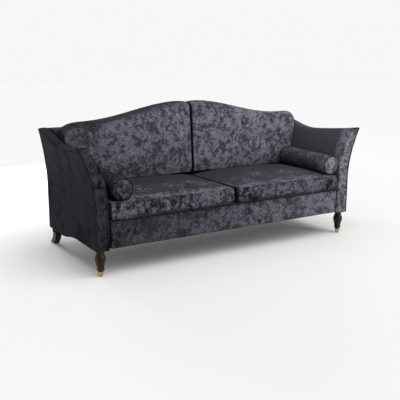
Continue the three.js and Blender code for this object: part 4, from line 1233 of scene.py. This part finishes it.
for name, side in SIDES.items():
    clear_selection()
    sections = [(REAR_TOP_FRONT, REAR_TOP_BACK, REAR_LEG_TOP),
                (REAR_TOP_FRONT, REAR_TOP_BACK, REAR_STRAIGHT_TO)]
    for share in shares(14)[1:]:
        front_depth, height = swept(REAR_TOP_FRONT, REAR_FOOT_FRONT, share)
        sections.append((front_depth, swept(REAR_TOP_BACK, REAR_FOOT_BACK, share)[0], height))
    first = sections[0]
    middle_y = (first[0] + first[1]) / 2 + FACING_PLANE
    bpy.ops.mesh.primitive_plane_add(size=1, location=(side * REAR_LEG_X, middle_y, first[2]))
    leg = name_piece(f"swept_leg_{name}")
    leg.scale = (REAR_LEG_WIDTH, first[1] - first[0], 1)
    bpy.ops.object.transform_apply(location=True, rotation=True, scale=True)
    edit_mesh()
    width = REAR_LEG_WIDTH
    for before, after in zip(sections, sections[1:]):
        step_y = (after[0] + after[1] - before[0] - before[1]) / 2
        bpy.ops.mesh.extrude_region_move(
            TRANSFORM_OT_translate={"value": (0, step_y, after[2] - before[2])})
        slim = mix(REAR_LEG_WIDTH, REAR_FOOT_WIDTH, within(1 - after[2] / REAR_STRAIGHT_TO, 0, 1))
        middle_y = (after[0] + after[1]) / 2 + FACING_PLANE
        bpy.ops.transform.resize(value=(slim / width, (after[1] - after[0]) / (before[1] - before[0]), 1),
                                 center_override=(side * REAR_LEG_X, middle_y, after[2]))
        width = slim
    bpy.ops.object.mode_set(mode="OBJECT")
    settle(crease=30)
    ease = leg.modifiers.new("ease", "BEVEL")
    ease.width, ease.segments = REAR_EASE, 3
    ease.limit_method, ease.angle_limit = "ANGLE", math.radians(50)
    bpy.ops.object.modifier_apply(modifier="ease")
    bpy.ops.object.shade_smooth_by_angle(angle=math.radians(35))
    dress(leg, walnut, "walnut", "frame", f"rear_leg_{name}")

    collar_x = REAR_LEG_WIDTH / 2 + FIT - COLLAR_ROUND
    collar_y = (REAR_TOP_BACK - REAR_TOP_FRONT) / 2 + FIT - COLLAR_ROUND
    plan = []
    for across, along, start in ((1, 1, 0), (-1, 1, 90), (-1, -1, 180), (1, -1, 270)):
        plan += [((across * collar_x, along * collar_y), math.radians(start + 90 * share))
                 for share in shares(5)]
    rings = []
    middle_y = (REAR_TOP_FRONT + REAR_TOP_BACK) / 2 + FACING_PLANE
    for (cx, cy), angle in plan + plan[:1]:
        ring = []
        for inset, z in panel_section(REAR_STRAIGHT_TO, SIDE_BOTTOM_REAR - FIT, COLLAR_WALL, 6):
            reach = COLLAR_ROUND + COLLAR_WALL - inset
            ring.append((side * REAR_LEG_X + cx + reach * math.cos(angle),
                         middle_y + cy + reach * math.sin(angle), z))
        rings.append(ring)
    collar = loft(f"leg_collar_{name}", rings, 50)
    lay_nap(collar, 0.0, 0.1)
    upholster(collar, 0.95, "frame", f"rear_leg_collar_{name}")


# Studio: a pale matt floor, an even pale surround, a broad soft light from above and in front, a
# small one from the near right, and a low one behind that lights the floor. The camera stands
# where the photograph was taken.
# The floor is painted darker near the sofa and lighter far off, as painted shade near it and painted light
# far off, where it meets the pale surround.
FLOOR_NEAR, FLOOR_FAR = 1.5, 4.5
NEAR_PAINT, FAR_PAINT = (0.75, 0.75, 0.75, 1), (0.83, 0.83, 0.83, 1)
floor_paint, tree, shader, place = start_material("floor_paint", {"Roughness": 0.8})
reach = add_node(tree, "ShaderNodeVectorMath", {0: place}, operation="LENGTH").outputs["Value"]
paint(tree, shader, tinted(tree, ramp(tree, reach, FLOOR_NEAR, FLOOR_FAR), NEAR_PAINT, FAR_PAINT))
clear_selection()
bpy.ops.mesh.primitive_plane_add(size=60, location=(0, 0, 0))
floor = bpy.context.object
floor.name = "floor"
floor.data.materials.append(floor_paint)

SURROUND_SEEN, SURROUND_GLOW = 0.922, 0.56
world = bpy.data.worlds.new("pale_surround")
bpy.context.scene.world = world
world.use_nodes = True
seen = world.node_tree.nodes.new("ShaderNodeLightPath").outputs["Is Camera Ray"]
glow = add_node(world.node_tree, "ShaderNodeMapRange",
                {"Value": seen, "To Min": SURROUND_GLOW, "To Max": SURROUND_SEEN})
world.node_tree.links.new(glow.outputs[0], world.node_tree.nodes["Background"].inputs["Strength"])
world.node_tree.nodes["Background"].inputs["Color"].default_value = (1, 1, 1, 1)


def aimed_light(name, kind, place, aim, size, power, gloss=True):
    light = bpy.data.lights.new(name, kind)
    light.energy = power
    if kind == "SUN":
        light.angle = size
    else:
        light.shape, light.size = "SQUARE", size
    lamp = bpy.data.objects.new(name, light)
    bpy.context.scene.collection.objects.link(lamp)
    lamp.location = place
    lamp.rotation_euler = (Vector(aim) - Vector(place)).to_track_quat("-Z", "Y").to_euler()
    lamp.visible_camera = False
    lamp.visible_glossy = gloss


aimed_light("overhead_light", "SUN", (0.5, -1.4, 3.2), (0, 0, 0), math.radians(60), 2.08)
aimed_light("near_right_light", "AREA", (2.3, -2.6, 1.2), (0.4, 0, 0.5), 0.8, 18)
aimed_light("low_rear_light", "AREA", (-0.9, 3.5, 0.8), (-0.2, 0.2, 0.1), 1.2, 96, gloss=False)

PHOTO_SPOT = (-2.26621, -3.71207, 1.24219)
PHOTO_PITCH, PHOTO_YAW = 0.21888, 0.54756
PHOTO_LENS, SENSOR = 56.73, 36.0
camera_data = bpy.data.cameras.new("photo_camera")
camera_data.lens, camera_data.sensor_width = PHOTO_LENS, SENSOR
camera = bpy.data.objects.new("photo_camera", camera_data)
bpy.context.scene.collection.objects.link(camera)
camera.location = PHOTO_SPOT
camera.rotation_euler = (math.pi / 2 - PHOTO_PITCH, 0, -PHOTO_YAW)
bpy.context.scene.camera = camera
bpy.context.scene.view_settings.view_transform = "Standard"
